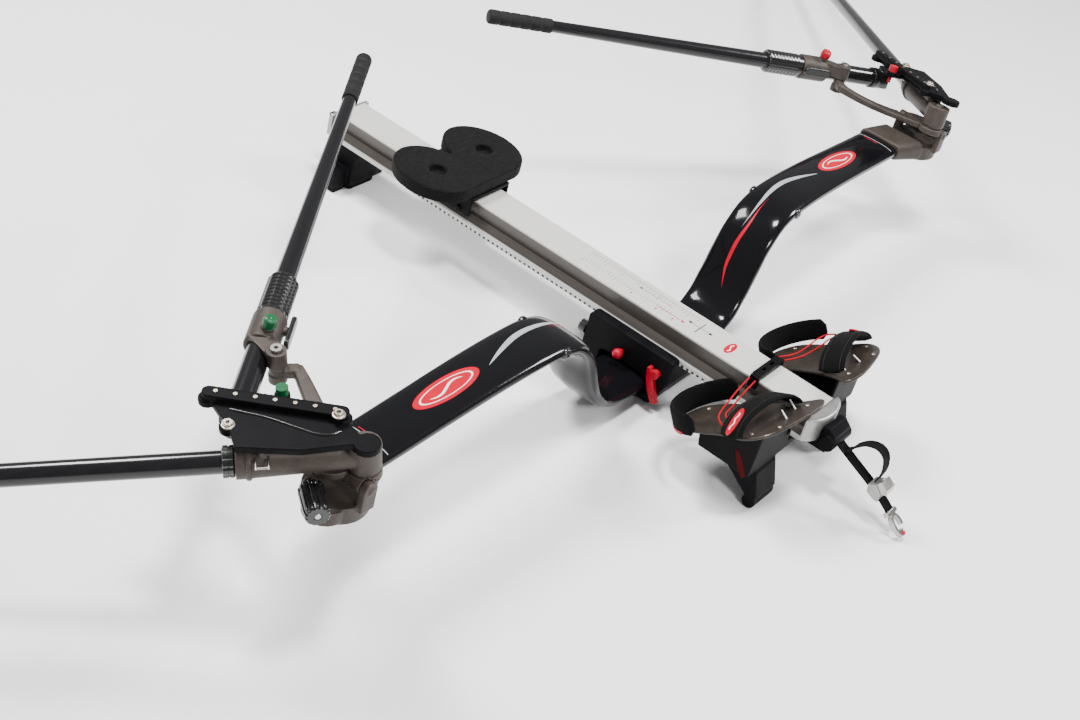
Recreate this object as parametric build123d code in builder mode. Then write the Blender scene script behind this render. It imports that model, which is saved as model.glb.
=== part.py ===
from build123d import *
import os
from math import sin, cos, radians, degrees, sqrt, atan2, tan

# Forward-facing drop-in sculling rig for a kayak or board.
# Frame: +X starboard, +Y towards the bow (the way the rower faces), +Z up.
# Origin: centre of the rail's top face, above the wing clamp.  Millimetres.

os.makedirs("parts", exist_ok=True)

# ---------------------------------------------------------------- dimensions
RAIL_W = 80.0            # flat top of the monorail
RAIL_REAR = -816.0
RAIL_NOSE = 396.0
RAIL_SIDE = 32.0         # height of the upright side
LEDGE_X = 52.0           # roller ledge half width
FLANGE_X = 60.0
RAIL_H = 50.0
WALL = 3.0
FLOOR_Z = -160.0         # deck that the feet stand on

SEAT_Y = -510.0
SEAT_W = 300.0
SEAT_T = 28.0
SEAT_HOLE_X = 73.0
ROLLER_R = 9.7
AXLE_Z = -22.0

WING_CHORD = 100.0
WING_T = 30.0
WING_TIP_X = 856.0

SHAFT_R = 20.0           # handle shaft at the collar
GRIP_R = 15.0
GRIP_L = 146.0
OUT_R = 17.5             # outboard shaft
SOCKET_L = 185.0
OUTBOARD_L = 1427.0
BLADE_L = 430.0
BLADE_W = 190.0
BLADE_T = 7.0

PIN_R = 6.0
PIVOT_R = 8.0
RUN = 0.05               # radial running clearance
GAP = 0.3                # air between pieces that move past each other


def write(name, part):
    part.label = name
    export_step(part, "parts/" + name + ".step")


def both(name, part):
    write("starboard_" + name, part)
    write("port_" + name, mirror(part, about=Plane.YZ))


# ---------------------------------------------------------------- monorail
with BuildPart() as monorail:
    with BuildSketch(Plane(origin=(0, RAIL_NOSE, 0), x_dir=(1, 0, 0), z_dir=(0, -1, 0))) as rail_section:
        # local x = +X, local y = +Z
        with BuildLine():
            Polyline((-40, 0), (40, 0), (40, -RAIL_SIDE), (LEDGE_X, -RAIL_SIDE), (FLANGE_X, -44),
                     (FLANGE_X, -RAIL_H), (-FLANGE_X, -RAIL_H), (-FLANGE_X, -44), (-LEDGE_X, -RAIL_SIDE),
                     (-40, -RAIL_SIDE), close=True)
        make_face()
        with BuildLine():
            Polyline((-37, -WALL), (37, -WALL), (37, -35), (50, -35), (56, -45.5), (56, -47), (-56, -47),
                     (-56, -45.5), (-50, -35), (-37, -35), close=True)
        make_face(mode=Mode.SUBTRACT)
    extrude(amount=RAIL_NOSE - RAIL_REAR)
write("monorail", monorail.part)

# toothed index strips under both flanges
RACK_Y0, RACK_Y1, PITCH = -590.0, 250.0, 12.0
TEETH = int((RACK_Y1 - RACK_Y0) / PITCH) - 1
with BuildPart() as rack_strips:
    with BuildSketch(Plane.XY.offset(-RAIL_H - 7.0)):
        for side in (-1, 1):
            with Locations((side * 54.0, (RACK_Y0 + RACK_Y1) / 2)):
                Rectangle(9.0, RACK_Y1 - RACK_Y0)
        for side in (-1, 1):
            with Locations((side * 57.0, (RACK_Y0 + RACK_Y1) / 2)):
                with GridLocations(1.0, PITCH, 1, TEETH):
                    Rectangle(5.0, 6.0, mode=Mode.SUBTRACT)
    extrude(amount=7.0)
write("rack_strips", rack_strips.part)

# end caps
with BuildPart() as rail_end_caps:
    with BuildSketch(Plane.XY.offset(-RAIL_H)):
        with Locations((0, RAIL_NOSE)):
            Ellipse(57, 26)
        with Locations((0, RAIL_NOSE - 30)):
            Rectangle(130, 60, mode=Mode.SUBTRACT)
    extrude(amount=RAIL_H - 1.0)
    with BuildSketch(Plane.XY.offset(-RAIL_H)):
        with Locations((0, RAIL_REAR - 5.0)):
            Rectangle(112, 10)
    extrude(amount=RAIL_H - 1.0)
    fillet(rail_end_caps.edges().group_by(Axis.Z)[-1], 4.0)
write("rail_end_caps", rail_end_caps.part)

# ---------------------------------------------------------------- rear foot
with BuildPart() as rear_foot:
    with BuildSketch(Plane.YZ.offset(-44)):
        with BuildLine():
            Polyline((-812, -RAIL_H), (-735, -RAIL_H), (-748, -92), (-752, FLOOR_Z + 12), (-806, FLOOR_Z + 12),
                     (-822, -120), close=True)
        make_face()
    extrude(amount=88)
    fillet(rear_foot.edges().filter_by(Axis.X), 5.0)
    for side in (-1, 1):
        with BuildSketch(Plane.XY.offset(-146)):
            with Locations((side * 62, -788)):
                Rectangle(38, 52)
        extrude(amount=38)
    with BuildSketch(Plane.YZ.offset(-9)):
        with BuildLine():
            Polyline((-817, -70), (-842, -62), (-858, -34), (-868, -36), (-862, -70), (-846, -86), (-817, -92), close=True)
        make_face()
    extrude(amount=18)

    # rubber soles
    with BuildSketch(Plane.XY.offset(FLOOR_Z)):
        with Locations((0, -779)):
            RectangleRounded(80, 50, 8)
    extrude(amount=12.01)
    for side in (-1, 1):
        with BuildSketch(Plane.XY.offset(FLOOR_Z)):
            with Locations((side * 62, -788)):
                RectangleRounded(34, 50, 5)
        extrude(amount=14.01)
write("rear_foot", rear_foot.part)

# ---------------------------------------------------------------- seat
with BuildPart() as seat_pad:
    with BuildSketch(Plane.XY.offset(12)):
        for side in (-1, 1):
            with Locations((side * 76, SEAT_Y - 6)):
                Ellipse(74, 92)
        with Locations((0, SEAT_Y + 30)):
            RectangleRounded(210, 112, 40)
        with Locations((0, SEAT_Y - 108)):
            Ellipse(26, 62, mode=Mode.SUBTRACT)
    extrude(amount=SEAT_T)
    with BuildSketch(Plane.XY.offset(12 + SEAT_T)):
        for side in (-1, 1):
            with Locations((side * SEAT_HOLE_X, SEAT_Y)):
                Circle(19)
    extrude(amount=-14, mode=Mode.SUBTRACT)
write("seat_pad", seat_pad.part)

AXLES_Y = (SEAT_Y - 52, SEAT_Y + 62)
with BuildPart() as seat_carriage:
    with BuildSketch(Plane.XY.offset(4)):
        with Locations((0, SEAT_Y + 5)):
            Rectangle(122, 168)
    extrude(amount=7.9)
    for side in (-1, 1):
        with BuildSketch(Plane.XY.offset(-30)):
            with Locations((side * 58.5, SEAT_Y + 5)):
                Rectangle(5, 168)
        extrude(amount=34)
    for y in AXLES_Y:
        for side in (-1, 1):
            with BuildSketch(Plane(origin=(side * 56, y, AXLE_Z), x_dir=(0, 1, 0), z_dir=(side, 0, 0))):
                Circle(4.0)
            extrude(amount=6, mode=Mode.SUBTRACT)
    # axle bolts
    for y in AXLES_Y:
        for side in (-1, 1):
            with BuildSketch(Plane(origin=(side * 42, y, AXLE_Z), x_dir=(0, 1, 0), z_dir=(side, 0, 0))):
                Circle(3.9)
            extrude(amount=20)
            with BuildSketch(Plane(origin=(side * 61.1, y, AXLE_Z), x_dir=(0, 1, 0), z_dir=(side, 0, 0))):
                RegularPolygon(7.5, 6)
            extrude(amount=5)
write("seat_carriage", seat_carriage.part)

for end, y in (("rear", AXLES_Y[0]), ("front", AXLES_Y[1])):
    with BuildPart() as rollers:
        for side in (-1, 1):
            with BuildSketch(Plane(origin=(side * 42.5, y, AXLE_Z), x_dir=(0, 1, 0), z_dir=(side, 0, 0))):
                Circle(ROLLER_R)
                Circle(3.9 + RUN, mode=Mode.SUBTRACT)
            extrude(amount=9)
    write("seat_" + end + "_rollers", rollers.part)

# ---------------------------------------------------------------- wing clamp
CL0, CL1 = -76.0, 126.0
LEV_Y, LEV_Z = 99.0, -76.0
with BuildPart() as clamp_housing:
    with BuildSketch(Plane.YZ.offset(-90)):
        with BuildLine():
            Polyline((CL0, -38), (CL1, -38), (CL1, -92), (CL1 - 26, -152), (CL0 + 22, -152), (CL0, -118), close=True)
        make_face()
    extrude(amount=180)
    fillet(clamp_housing.edges().filter_by(Axis.X), 7.0)
    with BuildSketch(Plane.XZ.offset(-(CL1 + 5))):
        with BuildLine():
            Polyline((-64, -20), (64, -20), (64, -58), (-64, -58), close=True)
        make_face()
    extrude(amount=(CL1 - CL0) + 10, mode=Mode.SUBTRACT)
    # sockets for the wing roots
    for side in (-1, 1):
        with BuildSketch(Plane(origin=(side * 96, 28, -119), x_dir=(0, 1, 0), z_dir=(-side, 0, 0))):
            RectangleRounded(124, 40, 12)
        extrude(amount=60, mode=Mode.SUBTRACT)
    # bores for the locking plungers
    with BuildSketch(Plane(origin=(95, 12, -80), x_dir=(0, 1, 0), z_dir=(-1, 0, 0))):
        Circle(6.05)
    extrude(amount=24, mode=Mode.SUBTRACT)
    with BuildSketch(Plane(origin=(95, LEV_Y, LEV_Z), x_dir=(0, 1, 0), z_dir=(-1, 0, 0))):
        Circle(5.05)
    extrude(amount=22, mode=Mode.SUBTRACT)
    with BuildSketch(Plane(origin=(80, CL0 - 4, -84), x_dir=(1, 0, 0), z_dir=(0, 1, 0))):
        Circle(5.05)
    extrude(amount=28, mode=Mode.SUBTRACT)
write("clamp_housing", clamp_housing.part)

with BuildPart() as wing_lock_knob:
    with BuildSketch(Plane(origin=(73, 12, -80), x_dir=(0, 1, 0), z_dir=(1, 0, 0))):
        Circle(6.0)
    extrude(amount=28)
    with BuildSketch(Plane(origin=(101.5, 12, -80), x_dir=(0, 1, 0), z_dir=(1, 0, 0))):
        with BuildLine():
            l1 = Line((0, -10.5), (0, 10.5))
            ThreePointArc((0, 10.5), (10.5, 0), (0, -10.5))
        make_face()
    revolve(axis=Axis((101.5, 12, -80), (0, 0, 1)), revolution_arc=360)
write("wing_lock_knob", wing_lock_knob.part)

with BuildPart() as wing_clamp_lever:
    with BuildSketch(Plane(origin=(74.5, LEV_Y, LEV_Z), x_dir=(0, 1, 0), z_dir=(1, 0, 0))):
        Circle(5.0)
    extrude(amount=17)
    with BuildSketch(Plane(origin=(90.5, LEV_Y, LEV_Z), x_dir=(0, 1, 0), z_dir=(1, 0, 0))):
        # local x = +Y, local y = +Z
        with BuildLine():
            Spline((-9, 6), (2, -16), (12, -38), (22, -58))
            Line((22, -58), (12, -62))
            Spline((12, -62), (-2, -44), (-13, -20), (-18, 4))
            ThreePointArc((-18, 4), (-13, 11), (-9, 6))
        make_face()
        Circle(9)
    extrude(amount=11)
write("wing_clamp_lever", wing_clamp_lever.part)

with BuildPart() as rail_position_knob:
    with BuildSketch(Plane(origin=(80, CL0 + 20, -84), x_dir=(1, 0, 0), z_dir=(0, -1, 0))):
        Circle(5.0)
    extrude(amount=22)
    with BuildSketch(Plane(origin=(80, CL0 - 2, -84), x_dir=(1, 0, 0), z_dir=(0, -1, 0))):
        Circle(13)
        with PolarLocations(13.4, 12):
            Circle(1.6, mode=Mode.SUBTRACT)
    extrude(amount=14)
write("rail_position_knob", rail_position_knob.part)

# ---------------------------------------------------------------- wings
WING = [  # centre x, y, z, tangent (dx, dz), chord, thickness
    (41, 28, -119, (1, 0), 112, 26),
    (110, 28, -120, (1, 0.02), 113, 27),
    (168, 26, -119, (1, 0.14), 114, 28),
    (222, 22, -98, (0.82, 0.7), 115, 30),
    (256, 18, -58, (0.5, 0.9), 116, 31),
    (280, 16, -8, (0.42, 1.0), 116, 32),
    (308, 14, 42, (0.62, 0.8), 114, 32),
    (354, 12, 80, (0.92, 0.42), 112, 31),
    (430, 10, 94, (1, 0.06), 110, 30),
    (560, 9, 94, (1, -0.02), 107, 30),
    (700, 9, 88, (1, -0.05), 103, 29),
    (WING_TIP_X, 10, 82, (1, -0.03), WING_CHORD, 28),
]
def wing_stations(rows, step):
    """Even stations along a cubic through the given rows."""
    out = []
    for a, b in zip(rows, rows[1:]):
        pa, pb = Vector(*a[:3]), Vector(*b[:3])
        dist = (pb - pa).length
        ta = Vector(a[3][0], 0, a[3][1]).normalized() * dist
        tb = Vector(b[3][0], 0, b[3][1]).normalized() * dist
        count = max(1, round(dist / step))
        for k in range(count):
            u = k / count
            c = (2 * u ** 3 - 3 * u ** 2 + 1, u ** 3 - 2 * u ** 2 + u, -2 * u ** 3 + 3 * u ** 2, u ** 3 - u ** 2)
            d = (6 * u ** 2 - 6 * u, 3 * u ** 2 - 4 * u + 1, -6 * u ** 2 + 6 * u, 3 * u ** 2 - 2 * u)
            p = pa * c[0] + ta * c[1] + pb * c[2] + tb * c[3]
            t = pa * d[0] + ta * d[1] + pb * d[2] + tb * d[3]
            out.append((p, t, a[4] + (b[4] - a[4]) * u, a[5] + (b[5] - a[5]) * u))
    z = rows[-1]
    out.append((Vector(*z[:3]), Vector(z[3][0], 0, z[3][1]), z[4], z[5]))
    return out


with BuildPart() as wing:
    for (p, t, chord, th) in wing_stations(WING, 34):
        with BuildSketch(Plane(origin=p, x_dir=(0, 1, 0), z_dir=(t.X, 0, t.Z))):
            Ellipse(chord / 2, th / 2)
    loft()
both("wing", wing.part)

# ---------------------------------------------------------------- end casting
DIP_X, DIP_Z = 948.0, 128.0
KC = Vector(1011, 63, 112)              # height knob
KD = Vector(0.39, 0.57, 0).normalized()
DIP_Y0, DIP_Y1 = 0.0, 118.0
with BuildPart() as end_casting:
    with BuildSketch(Plane(origin=(WING_TIP_X + 0.8, 10, 82), x_dir=(0, 1, 0), z_dir=(1, 0, 0))):
        RectangleRounded(108, 38, 15)
    with BuildSketch(Plane(origin=(910, 40, 88), x_dir=(0, 1, 0), z_dir=(1, 0, 0))):
        RectangleRounded(112, 46, 15)
    loft()
    with BuildSketch(Plane.XY.offset(66)):
        with Locations((950, 56)):
            Circle(54)
    extrude(amount=32)
    with BuildSketch(Plane.XY.offset(72)):
        with Locations((985, 66)):
            Circle(34)
    extrude(amount=24)
    fillet(end_casting.edges().group_by(Axis.Z)[0], 4.0)
    # two lugs for the dip pin
    for y0 in (DIP_Y0, DIP_Y1 - 14):
        with BuildSketch(Plane(origin=(DIP_X, y0, 0), x_dir=(1, 0, 0), z_dir=(0, 1, 0))):
            with Locations((0, -DIP_Z)):
                Circle(14)
            with Locations((0, -108)):
                Rectangle(28, 40)
            with Locations((0, -DIP_Z)):
                Circle(PIN_R, mode=Mode.SUBTRACT)
        extrude(amount=14)
    # boss for the height knob's stem
    with BuildSketch(Plane(origin=KC - KD * 36, z_dir=KD)):
        Circle(10)
    extrude(amount=15)
    with BuildSketch(Plane.XY.offset(94)):
        with Locations(((KC - KD * 28.5).X, (KC - KD * 28.5).Y)):
            Circle(8)
    extrude(amount=16)
    with BuildSketch(Plane(origin=KC - KD * 40, z_dir=KD)):
        Circle(6 + RUN)
    extrude(amount=30, mode=Mode.SUBTRACT)
    # room for the knob's body
    with BuildSketch(Plane(origin=KC - KD * 20.4, z_dir=KD)):
        Circle(20.5)
    extrude(amount=62, mode=Mode.SUBTRACT)
    # hinge pin of the dip axis
    with BuildSketch(Plane(origin=(DIP_X, DIP_Y0 - 3, DIP_Z), x_dir=(1, 0, 0), z_dir=(0, 1, 0))):
        Circle(PIN_R)
    extrude(amount=DIP_Y1 - DIP_Y0 + 6)
both("end_casting", end_casting.part)

# ---------------------------------------------------------------- mechanism plane
NX, NY, NZ = 0.16, -0.06, 0.985
B0 = Vector(930, 87, 128)
MP = Plane(origin=B0, x_dir=(1, 0, -NX / NZ), z_dir=(NX, NY, NZ))
N = MP.z_dir


def loc2(x, y, z=150.0):
    """plan position of a world point in the mechanism plane"""
    v = MP.to_local_coords(Vector(x, y, z))
    return (v.X, v.Y)


def lvl(h):
    return MP.offset(h)


DH = Vector(-0.83, -0.55, 0.10).normalized()
DH = (DH - N * DH.dot(N)).normalized()
DO = Vector(0.73, -0.66, -0.16).normalized()
DO = (DO - N * DO.dot(N)).normalized()
H0 = Vector(950.4, -145.6, 160.0)
H0 = H0 + N * (47.0 - (H0 - B0).dot(N))
O0 = B0 + N * 46.0 + DO * 185.0      # outer mouth of the socket
BX = B0 + N * 46.0                   # outboard pivot, on the socket's axis
SIDEH = N.cross(DH).normalized()     # sideways from the handle axis
A_ALONG, A_OFF = 49.0, 33.0
A0 = H0 + DH * A_ALONG - SIDEH * A_OFF
A0B = H0 + DH * A_ALONG + SIDEH * A_OFF
if A0B.Y > A0.Y:
    A0, SIDEH = A0B, -SIDEH
A0 = A0 - N * ((A0 - B0).dot(N))     # hinge point on the mechanism plane
AX, AY = MP.to_local_coords(A0).X, MP.to_local_coords(A0).Y
print("A world", A0, "local", AX, AY)
print("B world", B0, "DH", DH, "DO", DO, "N", N)
print("H0", H0, "O0", O0)


def on_handle(s):
    return H0 + DH * s


def on_out(s):
    return O0 + DO * s


def hplane(s):
    return Plane(origin=on_handle(s), x_dir=N, z_dir=DH)


def oplane(s):
    return Plane(origin=on_out(s), x_dir=N, z_dir=DO)


# ---------------------------------------------------------------- yoke
YB = loc2(948, 40, 128)
ARM = [  # world x, y and level of the arm's centre, width, depth
    (936, 20, 11, 46, 13),
    (906, -36, 14, 30, 14),
    (880, -88, 22, 24, 16),
    (866, -122, 30, 22, 17),
]
with BuildPart() as yoke:
    with BuildSketch(lvl(4)):
        with Locations(YB):
            Circle(34)
        with Locations((0, 0)):
            Circle(26)
    extrude(amount=13)
    # arm to the handle pivot
    pts = [MP.from_local_coords(Vector(loc2(x, y)[0], loc2(x, y)[1], h)) for (x, y, h, w, d) in ARM]
    pts.append(A0 + N * 34.5)
    for i, (x, y, h, w, d) in enumerate(ARM):
        t = pts[i + 1] - (pts[i - 1] if i else pts[i])
        t = (t - N * t.dot(N)).normalized()
        with BuildSketch(Plane(origin=pts[i], x_dir=N.cross(t), z_dir=t)):
            RectangleRounded(w, d, 4)
    loft()
    t = (pts[4] - pts[3])
    t = (t - N * t.dot(N)).normalized()
    with BuildSketch(Plane(origin=pts[3] - t * 2, x_dir=N.cross(t), z_dir=t)):
        RectangleRounded(22, 17, 4)
    extrude(amount=(pts[4] - pts[3]).length)
    with BuildSketch(lvl(26)):
        with Locations((AX, AY)):
            Circle(13)
    extrude(amount=17.4)
    # rubber bumper under the handle pivot
    with BuildSketch(lvl(12)):
        with Locations((AX, AY)):
            Circle(15)
    extrude(amount=16)
    # washer under the socket's eye
    with BuildSketch(lvl(16)):
        Circle(21)
    extrude(amount=5.6)
    # barrel on the dip pin
    with BuildSketch(Plane(origin=(DIP_X, DIP_Y0 + 14 + GAP, DIP_Z), x_dir=(1, 0, 0), z_dir=(0, 1, 0))):
        Circle(13)
    extrude(amount=DIP_Y1 - DIP_Y0 - 28 - 2 * GAP)
    with BuildSketch(Plane(origin=(DIP_X, DIP_Y0 - 20, DIP_Z), x_dir=(1, 0, 0), z_dir=(0, 1, 0))):
        Circle(PIN_R + RUN)
    extrude(amount=DIP_Y1 - DIP_Y0 + 40, mode=Mode.SUBTRACT)
    # clear the two lugs
    for y0 in (DIP_Y0 - 2, DIP_Y1 - 14 - 1.5):
        with BuildSketch(Plane(origin=(DIP_X, y0, DIP_Z), x_dir=(1, 0, 0), z_dir=(0, 1, 0))):
            Circle(17)
        extrude(amount=17.5, mode=Mode.SUBTRACT)
    # bores for the two pivot pins
    with BuildSketch(lvl(-2)):
        Circle(PIVOT_R)
    extrude(amount=30, mode=Mode.SUBTRACT)
    with BuildSketch(lvl(20)):
        with Locations((AX, AY)):
            Circle(5.0)
    extrude(amount=30, mode=Mode.SUBTRACT)
both("yoke", yoke.part)

with BuildPart() as pivot_pins:
    with BuildSketch(lvl(1)):
        Circle(PIVOT_R)
    extrude(amount=71)
    with BuildSketch(lvl(26)):
        with Locations((AX, AY)):
            Circle(5.0)
    extrude(amount=49)
    with BuildSketch(lvl(75)):
        with Locations((AX, AY)):
            Circle(9)
            RegularPolygon(4, 6, mode=Mode.SUBTRACT)
    extrude(amount=5)
both("pivot_pins", pivot_pins.part)

# ---------------------------------------------------------------- height knob
with BuildPart() as height_knob:
    with BuildSketch(Plane(origin=KC - KD * 20, z_dir=KD)):
        Circle(20)
        with PolarLocations(21, 14):
            Circle(2.6, mode=Mode.SUBTRACT)
    extrude(amount=60)
    with BuildSketch(Plane(origin=KC - KD * 35, z_dir=KD)):
        Circle(6)
    extrude(amount=16)
both("height_knob", height_knob.part)

# ---------------------------------------------------------------- collar
COL0, COL1 = 78.0, 146.0
KNOB_S = 95.0
LEVER_S = 122.0
KN = (N * 0.955 - SIDEH * 0.297).normalized()
with BuildPart() as collar:
    with BuildSketch(hplane(COL0)):
        Circle(28)
    extrude(amount=COL1 - COL0)
    fillet(collar.edges().filter_by(GeomType.CIRCLE), 3.0)
    # ear that carries the handle pivot
    with BuildSketch(lvl(44)):
        with Locations((AX, AY)):
            Circle(16)
    extrude(amount=30.5)
    ear_mid = on_handle(COL0 + 16) + SIDEH * 10
    with BuildSketch(lvl(44)):
        a = Vector(AX, AY)
        e = MP.to_local_coords(ear_mid)
        with BuildLine():
            d = Vector(e.X - AX, e.Y - AY).normalized()
            q = Vector(-d.Y, d.X) * 15
            Polyline((AX + q.X, AY + q.Y), (e.X + q.X * 1.1, e.Y + q.Y * 1.1), (e.X - q.X * 1.1, e.Y - q.Y * 1.1),
                     (AX - q.X, AY - q.Y), close=True)
        make_face()
    extrude(amount=26)
    with BuildSketch(hplane(COL0 - 60)):
        Circle(SHAFT_R + 0.05)
    extrude(amount=COL1 - COL0 + 90, mode=Mode.SUBTRACT)
    with BuildSketch(lvl(40)):
        with Locations((AX, AY)):
            Circle(5.0 + RUN)
    extrude(amount=50, mode=Mode.SUBTRACT)
    # boss for the knob plunger, on top
    with BuildSketch(Plane(origin=on_handle(KNOB_S) + KN * 26, z_dir=KN)):
        Circle(10)
    extrude(amount=8)
    with BuildSketch(Plane(origin=on_handle(KNOB_S) + KN * 22, z_dir=KN)):
        Circle(4.05)
    extrude(amount=20, mode=Mode.SUBTRACT)
    # boss for the lever pin, on the outer side
    with BuildSketch(Plane(origin=on_handle(LEVER_S) - SIDEH * 22, z_dir=-SIDEH)):
        Circle(8)
    extrude(amount=11)
    with BuildSketch(Plane(origin=on_handle(LEVER_S) - SIDEH * 24, z_dir=-SIDEH)):
        Circle(3.05)
    extrude(amount=16, mode=Mode.SUBTRACT)
both("collar", collar.part)

with BuildPart() as collar_knob:
    with BuildSketch(Plane(origin=on_handle(KNOB_S) + KN * 23, z_dir=KN)):
        Circle(4.0)
    extrude(amount=13)
    with BuildSketch(Plane(origin=on_handle(KNOB_S) + KN * 35, z_dir=KN)):
        Circle(11.5)
    extrude(amount=17)
    fillet(collar_knob.edges().filter_by(GeomType.CIRCLE).sort_by(lambda e: (e.center() - B0).dot(KN))[-1], 4.0)
both("collar_knob", collar_knob.part)

with BuildPart() as collar_lever:
    with BuildSketch(Plane(origin=on_handle(LEVER_S) - SIDEH * 25, z_dir=-SIDEH)):
        Circle(3.0)
    extrude(amount=10.5)
    with BuildSketch(Plane(origin=on_handle(LEVER_S - 5) - SIDEH * 34.6 + N * 3, x_dir=DH, z_dir=-SIDEH)):
        SlotOverall(70, 19)
    extrude(amount=8)
    fillet(collar_lever.edges().filter_by(lambda e: e.length > 20), 2.5)
both("collar_lever", collar_lever.part)

# ---------------------------------------------------------------- handle
with BuildPart() as handle_shaft:
    with BuildSketch(hplane(-66)):
        Circle(SHAFT_R)
        Circle(SHAFT_R - 5, mode=Mode.SUBTRACT)
    extrude(amount=66 + 240)
    with BuildSketch(hplane(240)):
        Circle(17.5)
        Circle(13, mode=Mode.SUBTRACT)
    with BuildSketch(hplane(774)):
        Circle(12.5)
        Circle(10.5, mode=Mode.SUBTRACT)
    loft()
both("handle_shaft", handle_shaft.part)

with BuildPart() as handle_sleeve:
    with BuildSketch(hplane(COL1 + 0.3)):
        Circle(24.5)
    extrude(amount=92)
    for k in range(9):
        with BuildSketch(hplane(COL1 + 12 + 9 * k)):
            Circle(26)
        extrude(amount=4)
    with BuildSketch(hplane(COL1 - 5)):
        Circle(SHAFT_R)
    extrude(amount=110, mode=Mode.SUBTRACT)
both("handle_sleeve", handle_sleeve.part)

with BuildPart() as grip:
    with BuildSketch(hplane(774.2)):
        Circle(GRIP_R - 1)
    extrude(amount=GRIP_L)
    for k, s in enumerate((0, 26, 50, 74, 98, 122)):
        with BuildSketch(hplane(774.2 + s)):
            Circle(GRIP_R + 0.6)
        extrude(amount=20 if k < 5 else 24)
both("grip", grip.part)

# block on the shaft's tail, parked under the guide plate at rest
with BuildPart() as tail_block:
    with BuildSketch(Plane(origin=on_handle(-88) - N * 18, z_dir=N)):
        Circle(17)
    extrude(amount=46)
    with BuildSketch(hplane(-88)):
        Circle(22.5)
    extrude(amount=21.9)
    with BuildSketch(hplane(-66.3)):
        Circle(24)
    extrude(amount=14)
    with BuildSketch(hplane(-66.1)):
        Circle(SHAFT_R + 0.05)
    extrude(amount=30, mode=Mode.SUBTRACT)
both("tail_block", tail_block.part)

# ---------------------------------------------------------------- outboard socket
with BuildPart() as socket:
    with BuildSketch(oplane(-172)):
        Circle(21)
    with BuildSketch(oplane(-90)):
        Circle(24)
    with BuildSketch(oplane(0)):
        Circle(27)
    loft(ruled=True)
    with BuildSketch(oplane(-22)):
        Circle(29.5)
    extrude(amount=7)
    with BuildSketch(lvl(22)):
        Circle(25)
    extrude(amount=46)
    # saddle that the guide plate bolts to
    with BuildSketch(Plane(origin=on_out(-92) + N * 18, x_dir=DO, z_dir=N)):
        RectangleRounded(120, 34, 6)
    extrude(amount=12.9)
    with BuildSketch(oplane(-60)):
        Circle(OUT_R + 0.05)
    extrude(amount=70, mode=Mode.SUBTRACT)
    with BuildSketch(lvl(10)):
        Circle(PIVOT_R + RUN)
    extrude(amount=70, mode=Mode.SUBTRACT)
both("outboard_socket", socket.part)

# ---------------------------------------------------------------- guide plate
def pl(x, y, z):
    v = MP.to_local_coords(Vector(x * 80, y * 80, z * 80))
    return (v.X, v.Y)


G = dict(
    l=pl(13.06, -1.68, 2.33), r=pl(11.95, 1.23, 2.69), bl=pl(13.31, -0.87, 2.34), br=pl(11.77, 0.48, 2.67),
    ll=pl(13.6, -0.37, 2.32), lm=pl(12.88, 0.51, 2.49), s0=pl(12.9, -1.75, 2.6), s1=pl(11.5, 0.35, 2.9))
print({k: (round(v[0]), round(v[1])) for k, v in G.items()})
PLATE_H = 77.2
RKL = loc2(966, -60, 190)
print('release knob', RKL)
with BuildPart() as guide_plate:
    with BuildSketch(lvl(PLATE_H)):
        with BuildLine():
            Polyline(G["l"], G["br"], G["r"], G["lm"], G["ll"], G["bl"], close=True)
        make_face()
        with Locations(G["r"]):
            Circle(20)
        with Locations(G["bl"]):
            Circle(13)
        with Locations(G["br"]):
            Circle(12)
        with Locations(G["l"]):
            Circle(14)
        with Locations(RKL):
            Circle(12)
            with Locations((14, 9)):
                Circle(12)
    extrude(amount=12)
    with BuildSketch(lvl(PLATE_H - 2)):
        with Locations(RKL):
            Circle(4.05)
    extrude(amount=16, mode=Mode.SUBTRACT)

# raised guide strip along the plate's aft edge
sx = Vector(G["br"][0] - G["l"][0], G["br"][1] - G["l"][1])
STRIP_L = sx.length
sd = sx.normalized()
sn = Vector(-sd.Y, sd.X)
mid = Vector((G["br"][0] + G["l"][0]) / 2, (G["br"][1] + G["l"][1]) / 2)
STRIP_PL = Plane(origin=MP.from_local_coords(Vector(mid.X, mid.Y, PLATE_H + 12.2)),
                 x_dir=MP.from_local_coords(Vector(mid.X + sd.X, mid.Y + sd.Y, 0)) - MP.from_local_coords(Vector(mid.X, mid.Y, 0)),
                 z_dir=N)
with BuildPart() as guide_strip:
    with BuildSketch(STRIP_PL):
        SlotOverall(STRIP_L + 16, 22)
    extrude(amount=12)
with BuildPart() as guide_set:
    add(guide_plate.part)
    add(guide_strip.part)
both("guide_plate", guide_set.part)

with BuildPart() as plate_screws:
    for k in range(7):
        with BuildSketch(Plane(origin=STRIP_PL.origin + STRIP_PL.x_dir * ((k - 3) * STRIP_L * 0.145) + N * 12.1, z_dir=N)):
            Circle(3.2)
        extrude(amount=1.6)
    for key in ("bl",):
        with BuildSketch(lvl(PLATE_H + 12.1)):
            with Locations(G[key]):
                Circle(8)
                RegularPolygon(3.6, 6, mode=Mode.SUBTRACT)
        extrude(amount=5)
both("plate_screws", plate_screws.part)

with BuildPart() as wire_clip:
    c0 = on_out(-52) - SIDEH * 0
    side_o = N.cross(DO).normalized()
    for k in (-1, 1):
        with BuildSketch(Plane(origin=on_out(-38 + 9 * k) + side_o * 18 + N * 22, z_dir=side_o)):
            Circle(1.6)
        extrude(amount=22)
    with BuildSketch(Plane(origin=on_out(-48.6) + side_o * 38.4 + N * 22, z_dir=DO)):
        Circle(1.6)
    extrude(amount=21.2)
both("wire_clip", wire_clip.part)

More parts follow.
